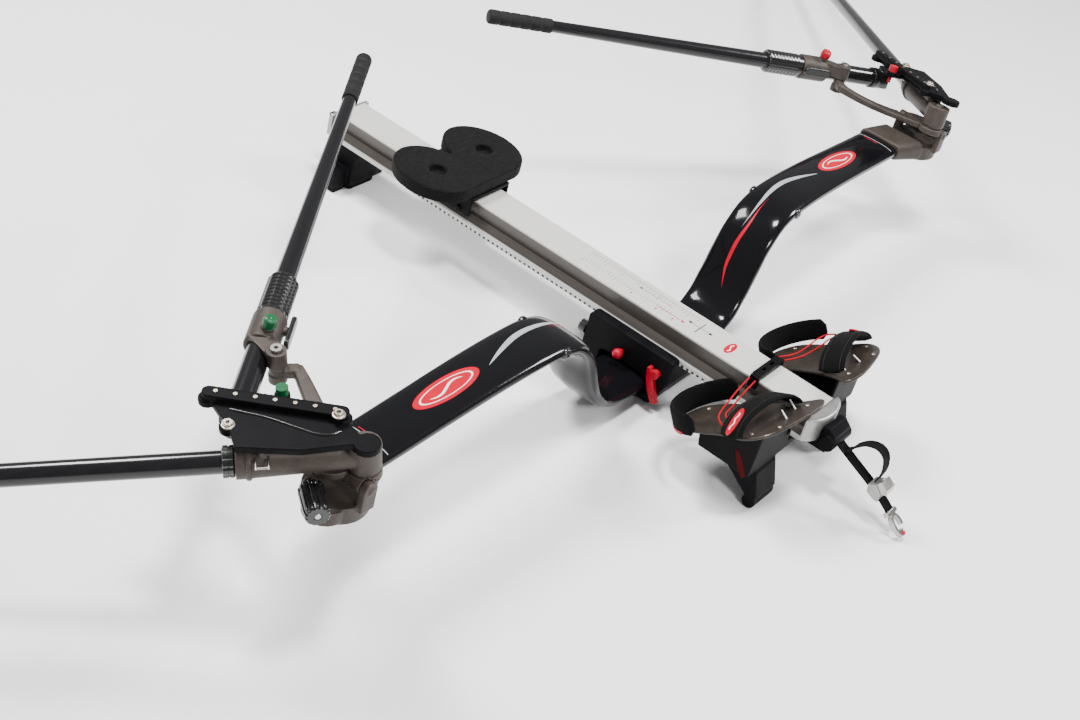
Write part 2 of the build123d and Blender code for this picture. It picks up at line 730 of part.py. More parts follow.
with BuildPart() as release_knob:
    with BuildSketch(lvl(PLATE_H - 14)):
        with Locations(RKL):
            Circle(4)
    extrude(amount=27)
    with BuildSketch(lvl(PLATE_H + 12.3)):
        with Locations(RKL):
            Circle(9.5)
    extrude(amount=13)
both("release_knob", release_knob.part)

# ---------------------------------------------------------------- outboard shaft and blade
with BuildPart() as outboard_shaft:
    # locking ring at the socket's mouth
    with BuildSketch(oplane(0.5)):
        Circle(24)
        with PolarLocations(24.4, 10):
            Circle(1.8, mode=Mode.SUBTRACT)
        Circle(OUT_R - 1, mode=Mode.SUBTRACT)
    extrude(amount=18)
    with BuildSketch(oplane(-59)):
        Circle(OUT_R)
        Circle(OUT_R - 2.5, mode=Mode.SUBTRACT)
    extrude(amount=59 + 700)
    with BuildSketch(oplane(700)):
        Circle(OUT_R)
        Circle(OUT_R - 2.5, mode=Mode.SUBTRACT)
    with BuildSketch(oplane(OUTBOARD_L)):
        Circle(14)
        Circle(11.5, mode=Mode.SUBTRACT)
    loft()
both("outboard_shaft", outboard_shaft.part)

side_o = N.cross(DO).normalized()
with BuildPart() as blade:
    # local x runs along the shaft, local y across the blade
    with BuildSketch(Plane(origin=on_out(OUTBOARD_L + 0.3) - N * (BLADE_T / 2), x_dir=DO, z_dir=N)):
        with BuildLine():
            Spline((0, -14), (70, -22), (150, -62), (240, -88), (340, -98), tangents=[(1, 0), (1, 0)])
            Line((340, -98), (BLADE_L - 14, -96))
            ThreePointArc((BLADE_L - 14, -96), (BLADE_L - 3, -92), (BLADE_L, -80))
            Line((BLADE_L, -80), (BLADE_L - 6, 82))
            ThreePointArc((BLADE_L - 6, 82), (BLADE_L - 10, 92), (BLADE_L - 20, 95))
            Spline((BLADE_L - 20, 95), (300, 92), (200, 66), (90, 24), (0, 14), tangents=[(-1, 0), (-1, 0)])
            Line((0, 14), (0, -14))
        make_face()
    extrude(amount=BLADE_T)
    with BuildSketch(oplane(OUTBOARD_L + 0.3)):
        Circle(14)
    with BuildSketch(oplane(OUTBOARD_L + 190)):
        Ellipse(5, 8)
    loft()
both("blade", blade.part)

# ---------------------------------------------------------------- foot stretcher
HEEL = Vector(156, 215, -70)
TOE = Vector(138, 405, 45)
fd = (TOE - HEEL).normalized()
FN = Vector(0, -fd.Z, fd.Y)
FN = (FN - fd * FN.dot(fd)).normalized()
FS = fd.cross(FN).normalized()
FC = (HEEL + TOE) * 0.5
FOOT_L, FOOT_W = 236.0, 164.0
with BuildPart() as foot_plate:
    with BuildSketch(Plane(origin=FC - FN * 4, x_dir=fd, z_dir=FN)):
        with BuildLine():
            Spline((-118, 0), (-86, -56), (0, -72), (52, -88), (92, -66), (118, 0), (130, 60), (120, 94), (86, 82),
                   (30, 68), (-86, 54), periodic=True)
        make_face()
    extrude(amount=6)
with BuildPart() as foot_plates:
    add(foot_plate.part)
    mirror(foot_plate.part, about=Plane.YZ)
write("foot_plates", foot_plates.part)

FY = FN.cross(fd)
fd2 = (fd * 0.969 - FY * 0.246).normalized()
FS2 = fd2.cross(FN).normalized()
STRAP_SIGN = -1 if Plane(origin=(0, 0, 0), x_dir=FS2, z_dir=fd2).y_dir.dot(FN) > 0 else 1
with BuildPart() as foot_strap:
    # padded arch over the instep, open along the foot
    with BuildSketch(Plane(origin=FC + fd * 26 - FY * 6 + FN * 2.3, x_dir=FS2, z_dir=fd2)):
        Ellipse(88, 41)
        Ellipse(80, 33, mode=Mode.SUBTRACT)
        with Locations((0, 60 * STRAP_SIGN)):
            Rectangle(220, 120, mode=Mode.SUBTRACT)
    extrude(amount=52)
    # heel cup band
    with BuildSketch(Plane(origin=FC - fd * 40 - FY * 5 + FN * 2.3, x_dir=fd, z_dir=FN)):
        Ellipse(84, 90)
        Ellipse(76, 82, mode=Mode.SUBTRACT)
        with Locations((60, 0)):
            Rectangle(120, 220, mode=Mode.SUBTRACT)
    extrude(amount=44)
with BuildPart() as foot_straps:
    add(foot_strap.part)
    mirror(foot_strap.part, about=Plane.YZ)
write("foot_straps", foot_straps.part)
print("strap box", foot_strap.part.bounding_box())

with BuildPart() as stretcher_frame:
    # saddle under the rail
    with BuildSketch(Plane.XY.offset(-80)):
        with Locations((0, 330)):
            Rectangle(170, 100)
    extrude(amount=20)
    for side in (-1, 1):
        with BuildSketch(Plane.XY.offset(-80)):
            with Locations((side * 72, 330)):
                Rectangle(18, 100)
        extrude(amount=46)
        # cheek that carries the foot plate
        with BuildSketch(Plane.YZ.offset(84 if side > 0 else -196)):
            with BuildLine():
                Polyline((268, -80), (380, -80), (380, 22), (372, 22), (300, -22), (262, -48), close=True)
            make_face()
        extrude(amount=112)
        # leg to the foot roller
        with BuildSketch(Plane.YZ.offset(100 if side > 0 else -172)):
            with BuildLine():
                Polyline((300, -80), (384, -80), (402, -133.8), (374, -133.8), close=True)
            make_face()
        extrude(amount=72)
        with BuildSketch(Plane(origin=(side * 100, 388, -146), x_dir=(0, 1, 0), z_dir=(side, 0, 0))):
            Circle(14)
        extrude(amount=72)
    # keep the cheeks under the plates
    with BuildSketch(Plane(origin=FC - FN * 4.3, x_dir=fd, z_dir=FN)):
        Rectangle(500, 900)
    extrude(amount=200, mode=Mode.SUBTRACT)
write("stretcher_frame", stretcher_frame.part)

with BuildPart() as cord_bracket:
    with BuildSketch(Plane.XY.offset(0.3)):
        with Locations((0, 269)):
            RectangleRounded(86, 19, 4)
    extrude(amount=12)
    with BuildSketch(Plane.XY.offset(0.3)):
        with Locations((-14, 269), (14, 269)):
            SlotOverall(14, 6)
    extrude(amount=20, mode=Mode.SUBTRACT)
    for side in (-1, 1):
        with BuildSketch(Plane.XY.offset(-16)):
            with Locations((side * 44.3, 269)):
                Rectangle(7.4, 19)
        extrude(amount=26)
write("cord_bracket", cord_bracket.part)

# ---------------------------------------------------------------- front bracket, strap, buckle, hook
with BuildPart() as front_bracket:
    with BuildSketch(Plane.YZ.offset(-30)):
        with BuildLine():
            Polyline((423, -50), (423, -14), (436, -12), (450, -24), (454, -44), (440, -66), (394, -66), (394, -51),
                     (423, -51), close=True)
        make_face()
    extrude(amount=60)
    with BuildSketch(Plane(origin=(-36, 440, -42), x_dir=(0, 1, 0), z_dir=(1, 0, 0))):
        Circle(16)
    extrude(amount=72)
write("front_bracket", front_bracket.part)

S0, S1, S3 = (457, -48), (536, -84), (583, -113.5)
with BuildPart() as web_strap:
    with BuildSketch(Plane.YZ.offset(-12.5)):
        with BuildLine():
            Polyline((S0[0], S0[1]), (S1[0], S1[1]), (S1[0] - 1.2, S1[1] - 3), (S0[0] - 1.2, S0[1] - 3), close=True)
        make_face()
    extrude(amount=25)
    with BuildSketch(Plane.YZ.offset(-12.5)):
        with BuildLine():
            Polyline((567.5, -100), (S3[0], S3[1]), (S3[0] - 1.6, S3[1] - 3), (566.2, -103), close=True)
        make_face()
    extrude(amount=25)
    # loose tail of the webbing
    with BuildSketch(Plane.YZ.offset(-12.5)):
        with BuildLine():
            loop = FilletPolyline((474, -54), (494, -20), (524, -6), (546, -20), (549, -50), (545, -71), radius=12)
        trace(line_width=2.4)
    extrude(amount=25)
write("web_strap", web_strap.part)

with BuildPart() as cam_buckle:
    with BuildSketch(Plane(origin=(-17, 0, 0), x_dir=(0, 1, 0), z_dir=(1, 0, 0))):
        with BuildLine():
            Polyline((536.5, -80), (552, -72), (566, -86), (566, -104), (556, -104), (540, -96), close=True)
        make_face()
    extrude(amount=34)
write("cam_buckle", cam_buckle.part)

with BuildPart() as cam_lever:
    with BuildSketch(Plane(origin=(-15, 0, 0), x_dir=(0, 1, 0), z_dir=(1, 0, 0))):
        with BuildLine():
            Polyline((552, -71.2), (566.6, -85.5), (576, -82), (574, -72), (558, -62), close=True)
        make_face()
    extrude(amount=30)
write("cam_lever", cam_lever.part)

HK = Vector(0, 591.5, -119.5)
hd = Vector(0, 34, -26).normalized()
with BuildPart() as snap_hook:
    with BuildSketch(Plane(origin=HK, x_dir=hd, z_dir=Vector(1, 0, 0).cross(hd))):
        # local x along the strap; the eye is the near end, the hook the far end
        with Locations((0, 0)):
            Rectangle(9, 34)
        with Locations((26, 0)):
            Ellipse(24, 15)
            Ellipse(17, 8.5, mode=Mode.SUBTRACT)
        with Locations((38, 12)):
            Rectangle(14, 11, mode=Mode.SUBTRACT)
    extrude(amount=5, both=True)
write("snap_hook", snap_hook.part)

# ---------------------------------------------------------------- red shock cords
def cord(points, radii, r):
    with BuildPart() as c:
        with BuildLine() as ln:
            FilletPolyline(*points, radius=radii)
        w = ln.wires()[0]
        with BuildSketch(Plane(origin=w.position_at(0), z_dir=w.tangent_at(0))):
            Circle(r)
        sweep()
    return c.part, w.length


CORD_R = 1.5


def corner_radii(pts, cap=1e9):
    out = []
    for a, b, c in zip(pts, pts[1:], pts[2:]):
        a, b, c = Vector(*a), Vector(*b), Vector(*c)
        turn = radians((b - a).get_angle(c - b))
        run = min((b - a).length, (c - b).length)
        out.append(min(cap, 0.45 * run / tan(turn / 2)))
    return out


ROUTES = [
    [(52, 262, 5), (96, 267, 4), (140, 276, 8), (186, 284, 7), (211, 293, 8), (221.7, 311.1, 10.3)],
    [(52, 275, 5), (96, 279, 3), (140, 288, 6), (176, 293, 8), (198, 298, 14), (207.8, 308.9, 18.4)],
    [(-52, 262, 5), (-84, 274, 0), (-118, 282, 6), (-152, 284, 14), (-186, 286, 12), (-211, 293, 9), (-221.7, 311.1, 10.3)],
    [(-52, 275, 5), (-86, 288, 3), (-120, 296, 8), (-152, 301, 13), (-180, 299, 15), (-207.8, 308.9, 18.4)],
]
cords = []
for pts in ROUTES:
    rr = corner_radii(pts, 60)
    part_i, length_i = cord(pts, rr, CORD_R)
    print("cord", round(length_i, 1), "radii", [round(q, 1) for q in rr], round(part_i.volume / (pi_r2 := 3.14159265 * CORD_R ** 2), 1))
    cords.append(part_i)
with BuildPart() as foot_cords:
    for c in cords:
        add(c)
write("foot_cords", foot_cords.part)
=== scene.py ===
import bpy
import math
import numpy as np
from mathutils import Matrix, Vector


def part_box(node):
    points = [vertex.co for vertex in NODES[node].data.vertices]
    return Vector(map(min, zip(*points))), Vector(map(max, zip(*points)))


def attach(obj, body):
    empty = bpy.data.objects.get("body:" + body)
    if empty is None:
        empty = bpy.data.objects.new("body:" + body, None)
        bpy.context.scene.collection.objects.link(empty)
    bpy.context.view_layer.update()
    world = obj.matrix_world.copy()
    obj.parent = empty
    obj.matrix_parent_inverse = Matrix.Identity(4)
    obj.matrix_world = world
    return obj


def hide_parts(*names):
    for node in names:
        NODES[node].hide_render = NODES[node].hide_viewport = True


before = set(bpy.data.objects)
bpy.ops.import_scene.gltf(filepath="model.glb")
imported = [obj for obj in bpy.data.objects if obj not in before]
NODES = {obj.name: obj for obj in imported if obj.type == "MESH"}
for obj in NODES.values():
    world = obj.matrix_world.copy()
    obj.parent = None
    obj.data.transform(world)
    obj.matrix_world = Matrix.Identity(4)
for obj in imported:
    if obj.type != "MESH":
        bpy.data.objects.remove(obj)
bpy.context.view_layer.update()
SC = bpy.context.scene

# ------------------------------------------------------------------ frame values, metres (as in part.py)
N = Vector((0.160046, -0.060017, 0.985283)).normalized()
A0 = Vector((0.884293, -0.142113, 0.121468))
B0 = Vector((0.930, 0.087, 0.128))
H0 = Vector((0.950119, -0.145495, 0.158272))
O0 = Vector((1.07285, -0.038236, 0.143855))
DH = Vector((-0.829212, -0.549694, 0.10121)).normalized()
DO = Vector((0.732356, -0.662028, -0.159288)).normalized()
SH = N.cross(DH).normalized()
SO = N.cross(DO).normalized()
KC = Vector((1.011, 0.063, 0.112))
KD = Vector((0.39, 0.57, 0)).normalized()
KN = (N * 0.955 - SH * 0.297).normalized()
FLOOR = -0.160
PLATE_H = 0.0772
MPX = Vector((1, 0, 0)) - N * N.x
MPX.normalize()
mm = 0.001


def oh(s):
    return H0 + DH * (s * mm)


def oo(s):
    return O0 + DO * (s * mm)


# ------------------------------------------------------------------ materials
def mat(name):
    m = bpy.data.materials.new(name)
    m.use_nodes = True
    nt = m.node_tree
    b = nt.nodes["Principled BSDF"]
    return m, nt, b


def node(nt, kind, **k):
    n = nt.nodes.new(kind)
    for a, v in k.items():
        setattr(n, a, v)
    return n


def coords(nt, scale=(1, 1, 1), rot=(0, 0, 0)):
    tc = node(nt, "ShaderNodeTexCoord")
    mp = node(nt, "ShaderNodeMapping")
    mp.inputs["Scale"].default_value = scale
    mp.inputs["Rotation"].default_value = rot
    nt.links.new(tc.outputs["Object"], mp.inputs["Vector"])
    return mp.outputs["Vector"]


def noise(nt, vec, scale, detail=4, rough=0.6):
    n = node(nt, "ShaderNodeTexNoise")
    n.inputs["Scale"].default_value = scale
    n.inputs["Detail"].default_value = detail
    n.inputs["Roughness"].default_value = rough
    nt.links.new(vec, n.inputs["Vector"])
    return n.outputs["Fac"]


def ramp(nt, fac, stops):
    r = node(nt, "ShaderNodeValToRGB")
    e = r.color_ramp.elements
    e[0].position, e[0].color = stops[0][0], (*stops[0][1], 1)
    e[1].position, e[1].color = stops[-1][0], (*stops[-1][1], 1)
    for p, c in stops[1:-1]:
        x = e.new(p)
        x.color = (*c, 1)
    nt.links.new(fac, r.inputs["Fac"])
    return r.outputs["Color"]


def bump(nt, b, height, strength, distance=0.0005):
    n = node(nt, "ShaderNodeBump")
    n.inputs["Strength"].default_value = strength
    n.inputs["Distance"].default_value = distance
    nt.links.new(height, n.inputs["Height"])
    nt.links.new(n.outputs["Normal"], b.inputs["Normal"])
    return n


def rough_of(nt, b, fac, lo, hi):
    m = node(nt, "ShaderNodeMapRange")
    m.inputs["To Min"].default_value = lo
    m.inputs["To Max"].default_value = hi
    nt.links.new(fac, m.inputs["Value"])
    nt.links.new(m.outputs["Result"], b.inputs["Roughness"])


def m_speckle(name, c0, c1, scale=900, rough=(0.45, 0.6), bumpy=0.25, metallic=0.0, coat=0.0, big=30, edge_highlight=None, dist=0.0004):
    m, nt, b = mat(name)
    v = coords(nt)
    fine = noise(nt, v, scale, 3)
    broad = noise(nt, v, big, 4)
    mix = node(nt, "ShaderNodeMath", operation="ADD")
    half = node(nt, "ShaderNodeMath", operation="MULTIPLY")
    half.inputs[1].default_value = 0.5
    nt.links.new(fine, mix.inputs[0])
    nt.links.new(broad, mix.inputs[1])
    nt.links.new(mix.outputs[0], half.inputs[0])
    col = ramp(nt, half.outputs[0], [(0.35, c0), (0.68, c1)])
    # painted highlight: convex edges, found by pointiness, get a lighter copy of the colour
    if edge_highlight:
        geo = node(nt, "ShaderNodeNewGeometry")
        edge = ramp(nt, geo.outputs["Pointiness"], [(0.515, (0, 0, 0)), (0.56, (1, 1, 1))])
        mx = node(nt, "ShaderNodeMix", data_type="RGBA")
        nt.links.new(edge, mx.inputs["Factor"])
        nt.links.new(col, mx.inputs["A"])
        mx.inputs["B"].default_value = (*edge_highlight, 1)
        col = mx.outputs["Result"]
    nt.links.new(col, b.inputs["Base Color"])
    rough_of(nt, b, broad, *rough)
    b.inputs["Metallic"].default_value = metallic
    b.inputs["Coat Weight"].default_value = coat
    b.inputs["Coat Roughness"].default_value = 0.08
    bump(nt, b, fine, bumpy, dist)
    return m


def m_carbon(name, c0, c1, rough=0.16, coat=1.0):
    m, nt, b = mat(name)
    v = coords(nt)
    w = node(nt, "ShaderNodeTexChecker")
    w.inputs["Scale"].default_value = 420
    w.inputs["Color1"].default_value = (*c0, 1)
    w.inputs["Color2"].default_value = (*c1, 1)
    nt.links.new(v, w.inputs["Vector"])
    n = noise(nt, v, 14, 3)
    mx = node(nt, "ShaderNodeMix", data_type="RGBA")
    nt.links.new(n, mx.inputs["Factor"])
    nt.links.new(w.outputs["Color"], mx.inputs["A"])
    mx.inputs["B"].default_value = (*c0, 1)
    nt.links.new(mx.outputs["Result"], b.inputs["Base Color"])
    s = noise(nt, coords(nt), 220, 2)
    rough_of(nt, b, s, rough, rough + 0.08)
    b.inputs["Coat Weight"].default_value = coat
    b.inputs["Coat Roughness"].default_value = 0.04
    bump(nt, b, w.outputs["Fac"], 0.04, 0.0001)
    return m


def m_weave(name, c0, c1, scale=700, rough=0.85, rot=0.0, sheen=0.3, strength=0.6):
    m, nt, b = mat(name)
    v = coords(nt, rot=(0, 0, rot))
    wx = node(nt, "ShaderNodeTexWave")
    wx.inputs["Scale"].default_value = scale
    wx.bands_direction = "X"
    wy = node(nt, "ShaderNodeTexWave")
    wy.inputs["Scale"].default_value = scale
    wy.bands_direction = "Y"
    nt.links.new(v, wx.inputs["Vector"])
    nt.links.new(v, wy.inputs["Vector"])
    mul = node(nt, "ShaderNodeMath", operation="MULTIPLY")
    nt.links.new(wx.outputs["Fac"], mul.inputs[0])
    nt.links.new(wy.outputs["Fac"], mul.inputs[1])
    col = ramp(nt, mul.outputs[0], [(0.1, c0), (0.8, c1)])
    nt.links.new(col, b.inputs["Base Color"])
    b.inputs["Roughness"].default_value = rough
    b.inputs["Sheen Weight"].default_value = sheen
    bump(nt, b, mul.outputs[0], strength, 0.0003)
    return m


def m_brushed(name, c0, c1, axis=1, rough=(0.25, 0.4), metallic=1.0, bumpy=0.1, scale=160):
    m, nt, b = mat(name)
    s = [scale * 6] * 3
    s[axis] = scale * 0.15
    v = coords(nt, scale=tuple(s))
    n = noise(nt, v, 1.0, 3)
    col = ramp(nt, n, [(0.3, c0), (0.7, c1)])
    nt.links.new(col, b.inputs["Base Color"])
    rough_of(nt, b, n, *rough)
    b.inputs["Metallic"].default_value = metallic
    bump(nt, b, n, bumpy, 0.0002)
    return m


CARBON = m_carbon("gloss_carbon", (0.004, 0.004, 0.005), (0.009, 0.009, 0.010))
OLIVE = m_carbon("dark_carbon", (0.012, 0.013, 0.012), (0.022, 0.023, 0.021), rough=0.2)
WING_M = m_carbon("wing_lacquer", (0.003, 0.003, 0.004), (0.006, 0.006, 0.007), rough=0.1)
# the lighter bronze on the casting's edges is a painted highlight
CAST = m_speckle("cast_bronze_paint", (0.030, 0.0235, 0.020), (0.066, 0.052, 0.044), scale=700, rough=(0.42, 0.58), bumpy=0.35, metallic=0.2, edge_highlight=(0.10, 0.082, 0.070))
BLACK = m_speckle("moulded_black", (0.002, 0.002, 0.0025), (0.006, 0.006, 0.007), scale=1300, rough=(0.42, 0.58), bumpy=0.25)
RUBBER = m_speckle("black_rubber", (0.006, 0.006, 0.006), (0.013, 0.013, 0.013), scale=1500, rough=(0.5, 0.68), bumpy=0.4)
MOULD = m_speckle("gloss_black_cast", (0.004, 0.004, 0.004), (0.010, 0.010, 0.010), scale=500, rough=(0.22, 0.36), bumpy=0.15, coat=0.3)
KNURL = m_speckle("gloss_black_moulding", (0.004, 0.004, 0.004), (0.012, 0.012, 0.012), scale=800, rough=(0.18, 0.32), bumpy=0.2, coat=0.5)
STEEL = m_speckle("bright_steel", (0.34, 0.33, 0.31), (0.52, 0.51, 0.48), scale=900, rough=(0.22, 0.36), bumpy=0.08, metallic=1.0)
TAN = m_speckle("tan_rivet", (0.30, 0.25, 0.20), (0.46, 0.40, 0.33), scale=900, rough=(0.3, 0.42), bumpy=0.08, metallic=0.9)
SILVER = m_speckle("silver_paint", (0.26, 0.26, 0.255), (0.40, 0.40, 0.39), scale=700, rough=(0.3, 0.42), bumpy=0.15, metallic=0.7)
BRASS = m_speckle("brass", (0.42, 0.30, 0.13), (0.62, 0.48, 0.25), scale=600, rough=(0.28, 0.42), bumpy=0.1, metallic=1.0)
GREEN = m_speckle("green_knob", (0.0, 0.06, 0.016), (0.0, 0.10, 0.028), scale=500, rough=(0.3, 0.42), bumpy=0.08)
RED = m_speckle("red_knob", (0.28, 0.0, 0.010), (0.40, 0.0, 0.018), scale=500, rough=(0.28, 0.4), bumpy=0.08)
PRINT_RED = m_speckle("red_print", (0.38, 0.0, 0.012), (0.48, 0.0, 0.020), scale=900, rough=(0.25, 0.35), bumpy=0.03)
FLASH = m_speckle("dark_red_panel", (0.035, 0.0, 0.0), (0.07, 0.0, 0.001), scale=700, rough=(0.35, 0.5), bumpy=0.1)
PRINT_WHITE = m_speckle("white_print", (0.72, 0.72, 0.72), (0.84, 0.84, 0.84), scale=900, rough=(0.25, 0.35), bumpy=0.03)
PRINT_PALE = m_speckle("pale_print", (0.24, 0.25, 0.27), (0.36, 0.37, 0.39), scale=900, rough=(0.2, 0.3), bumpy=0.03)
PRINT_GREY = m_speckle("grey_print", (0.14, 0.14, 0.14), (0.22, 0.22, 0.22), scale=900, rough=(0.35, 0.5), bumpy=0.03)
PRINT_BLACK = m_speckle("black_print", (0.004, 0.004, 0.004), (0.010, 0.010, 0.010), scale=900, rough=(0.4, 0.5), bumpy=0.03)
BLUE = m_speckle("blue_washer", (0.004, 0.015, 0.09), (0.008, 0.03, 0.15), scale=800, rough=(0.35, 0.5), bumpy=0.1)
RACK = m_brushed("pale_flange", (0.52, 0.52, 0.50), (0.66, 0.66, 0.64), axis=1, metallic=0.2, rough=(0.4, 0.55))
CORD_RED = m_weave("red_braid", (0.30, 0.0, 0.006), (0.62, 0.0, 0.012), scale=1100, rough=0.7)
WEB = m_weave("black_webbing", (0.002, 0.002, 0.002), (0.010, 0.010, 0.010), scale=420, rough=0.8)
PAD_FABRIC = m_weave("black_strap_fabric", (0.002, 0.002, 0.002), (0.008, 0.008, 0.009), scale=600, rough=0.8)
PLATE_BROWN = m_speckle("bronze_foot_plate", (0.020, 0.015, 0.012), (0.052, 0.041, 0.033), scale=220, rough=(0.3, 0.48), bumpy=0.18, coat=0.25, metallic=0.3)

for m_, lvl_ in ((BLACK, 0.05), (RUBBER, 0.15), (WEB, 0.05), (PAD_FABRIC, 0.05), (MOULD, 0.25), (KNURL, 0.3), (CAST, 0.25), (PLATE_BROWN, 0.2), (FLASH, 0.05), (CORD_RED, 0.1), (PRINT_RED, 0.2), (GREEN, 0.25), (RED, 0.25)):
    m_.node_tree.nodes["Principled BSDF"].inputs["Specular IOR Level"].default_value = lvl_
for m_ in (WEB, PAD_FABRIC, CORD_RED):
    m_.node_tree.nodes["Principled BSDF"].inputs["Sheen Weight"].default_value = 0.01
PLATE_BROWN.node_tree.nodes["Principled BSDF"].inputs["Coat Weight"].default_value = 0.08
for m_ in (CARBON, WING_M, OLIVE):
    m_.node_tree.nodes["Principled BSDF"].inputs["Coat Weight"].default_value = 0.35
    m_.node_tree.nodes["Principled BSDF"].inputs["Specular IOR Level"].default_value = 0.25
WING_M.node_tree.nodes["Principled BSDF"].inputs["Coat Weight"].default_value = 0.2
WING_M.node_tree.nodes["Principled BSDF"].inputs["IOR"].default_value = 1.35

# seat foam: brushed, slightly streaky
FOAM, nt, b = mat("seat_foam")
v1 = coords(nt, scale=(90, 420, 260), rot=(0, 0, 0.5))
n1 = noise(nt, v1, 1.0, 5)
n2 = noise(nt, coords(nt), 900, 3)
mx = node(nt, "ShaderNodeMath", operation="MULTIPLY")
nt.links.new(n1, mx.inputs[0])
nt.links.new(n2, mx.inputs[1])
nt.links.new(ramp(nt, mx.outputs[0], [(0.15, (0.001, 0.001, 0.001)), (0.42, (0.0095, 0.0095, 0.010))]), b.inputs["Base Color"])
b.inputs["Roughness"].default_value = 0.85
b.inputs["Sheen Weight"].default_value = 0.03
b.inputs["Specular IOR Level"].default_value = 0.08
bump(nt, b, mx.outputs[0], 0.7, 0.0008)

# rail: off-white top, pale flange and brushed streaks, with the sides painted near-black as painted shade, all by
# height in the rail's own space
RAIL_M, nt, b = mat("rail_paint_and_side_shade")
tc = node(nt, "ShaderNodeTexCoord")
sep = node(nt, "ShaderNodeSeparateXYZ")
nt.links.new(tc.outputs["Object"], sep.inputs[0])
zr = node(nt, "ShaderNodeMapRange")
zr.inputs["From Min"].default_value = -0.052
zr.inputs["From Max"].default_value = 0.0
nt.links.new(sep.outputs["Z"], zr.inputs["Value"])
st = noise(nt, coords(nt, scale=(900, 12, 900)), 1.0, 3)
# the near-black middle stops of this ramp are painted shade on the rail's sides; the top and flange stops are the
# rail's own off-white
band = ramp(nt, zr.outputs["Result"], [(0.0, (0.50, 0.50, 0.48)), (0.20, (0.50, 0.50, 0.48)), (0.235, (0.045, 0.038, 0.033)), (0.90, (0.075, 0.065, 0.058)), (0.96, (0.62, 0.61, 0.58)), (1.0, (0.66, 0.65, 0.62))])
var = ramp(nt, st, [(0.3, (0.86, 0.86, 0.86)), (0.7, (1.0, 1.0, 1.0))])
mul = node(nt, "ShaderNodeMix", data_type="RGBA", blend_type="MULTIPLY")
mul.inputs["Factor"].default_value = 1.0
nt.links.new(band, mul.inputs["A"])
nt.links.new(var, mul.inputs["B"])
nt.links.new(mul.outputs["Result"], b.inputs["Base Color"])
rough_of(nt, b, st, 0.32, 0.46)
b.inputs["Metallic"].default_value = 0.25
bump(nt, b, st, 0.08, 0.0002)

FLOOR_M = m_speckle("floor_white", (0.90, 0.90, 0.90), (0.93, 0.93, 0.93), scale=40, rough=(0.7, 0.8), bumpy=0.0, big=3)


# ------------------------------------------------------------------ mesh helpers
def make(name, verts, faces, material, smooth=True, angle=35):
    me = bpy.data.meshes.new(name)
    me.from_pydata([tuple(v) for v in verts], [], faces)
    me.validate()
    me.update()
    me.materials.append(material)
    ob = bpy.data.objects.new(name, me)
    SC.collection.objects.link(ob)
    if smooth:
        for p in me.polygons:
            p.use_smooth = True
        me.set_sharp_from_angle(angle=math.radians(angle))
    return ob


def flip(verts, faces):
    return [Vector((-v[0], v[1], v[2])) for v in verts], [tuple(reversed(f)) for f in faces]


def emit(name, geo, material, body, slot=None, replaces=(), sgn=1, **k):
    v, f = geo
    if sgn < 0:
        v, f = flip(v, f)
    ob = make(name, v, f, material, **k)
    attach(ob, body)
    if replaces:
        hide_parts(*replaces)
    return ob


def basis(axis, up=None):
    a = Vector(axis).normalized()
    u = Vector(up) if up is not None else (Vector((0, 0, 1)) if abs(a.z) < 0.9 else Vector((1, 0, 0)))
    x = (u - a * u.dot(a)).normalized()
    return x, a.cross(x), a


def lathe(origin, axis, profile, seg=72, ribs=0, rib_depth=0.0, up=None):
    """profile: (distance along axis, radius) in mm; a radius of 0 closes an end."""
    x, y, a = basis(axis, up)
    o = Vector(origin)
    vs, fs, rings = [], [], []
    for s, r in profile:
        if r == 0:
            vs.append(o + a * (s * mm))
            rings.append([len(vs) - 1])
            continue
        ring = []
        for k in range(seg):
            t = 2 * math.pi * k / seg
            rr = r
            if ribs and rib_depth:
                rr = r - rib_depth * max(0.0, math.cos(ribs * t)) ** 2
            ring.append(len(vs))
            vs.append(o + a * (s * mm) + (x * math.cos(t) + y * math.sin(t)) * (rr * mm))
        rings.append(ring)
    for p, q in zip(rings, rings[1:]):
        if len(p) == 1 and len(q) == 1:
            continue
        for k in range(seg):
            j = (k + 1) % seg
            if len(p) == 1:
                fs.append((p[0], q[j], q[k]))
            elif len(q) == 1:
                fs.append((p[k], p[j], q[0]))
            else:
                fs.append((p[k], p[j], q[j], q[k]))
    return vs, fs


def rod(origin, axis, s0, s1, r, seg=48, ch=0.6):
    return lathe(origin, axis, [(s0, 0), (s0, r - ch), (s0 + ch, r), (s1 - ch, r), (s1, r - ch), (s1, 0)], seg)


def slab(outline, origin, x, y, z, t0, t1, ch=1.0):
    """Bevelled plate from a closed outline [(u, v) mm] in the plane (x, y), from height t0 to t1 along z."""
    o, x, y, z = Vector(origin), Vector(x), Vector(y), Vector(z)
    n = len(outline)
    area = sum(outline[i][0] * outline[(i + 1) % n][1] - outline[(i + 1) % n][0] * outline[i][1] for i in range(n))
    if area < 0:
        outline = outline[::-1]
    inner = []
    for i in range(n):
        p0, p1, p2 = Vector(outline[i - 1]), Vector(outline[i]), Vector(outline[(i + 1) % n])
        e1 = (p1 - p0).normalized()
        e2 = (p2 - p1).normalized()
        n1, n2 = Vector((-e1.y, e1.x)), Vector((-e2.y, e2.x))
        m = n1 + n2
        m = m / max(0.35, m.length_squared / 2) if m.length > 1e-6 else n1
        inner.append(p1 + m * ch)
    vs, rings = [], []
    for pts, t in ((inner, t0), (outline, t0 + ch), (outline, t1 - ch), (inner, t1)):
        ring = []
        for p in pts:
            ring.append(len(vs))
            vs.append(o + x * (p[0] * mm) + y * (p[1] * mm) + z * (t * mm))
        rings.append(ring)
    fs = [tuple(reversed(rings[0])), tuple(rings[-1])]
    for p, q in zip(rings, rings[1:]):
        for k in range(n):
            j = (k + 1) % n
            fs.append((p[k], p[j], q[j], q[k]))
    if x.cross(y).dot(z) < 0:
        fs = [tuple(reversed(f)) for f in fs]
    return vs, fs


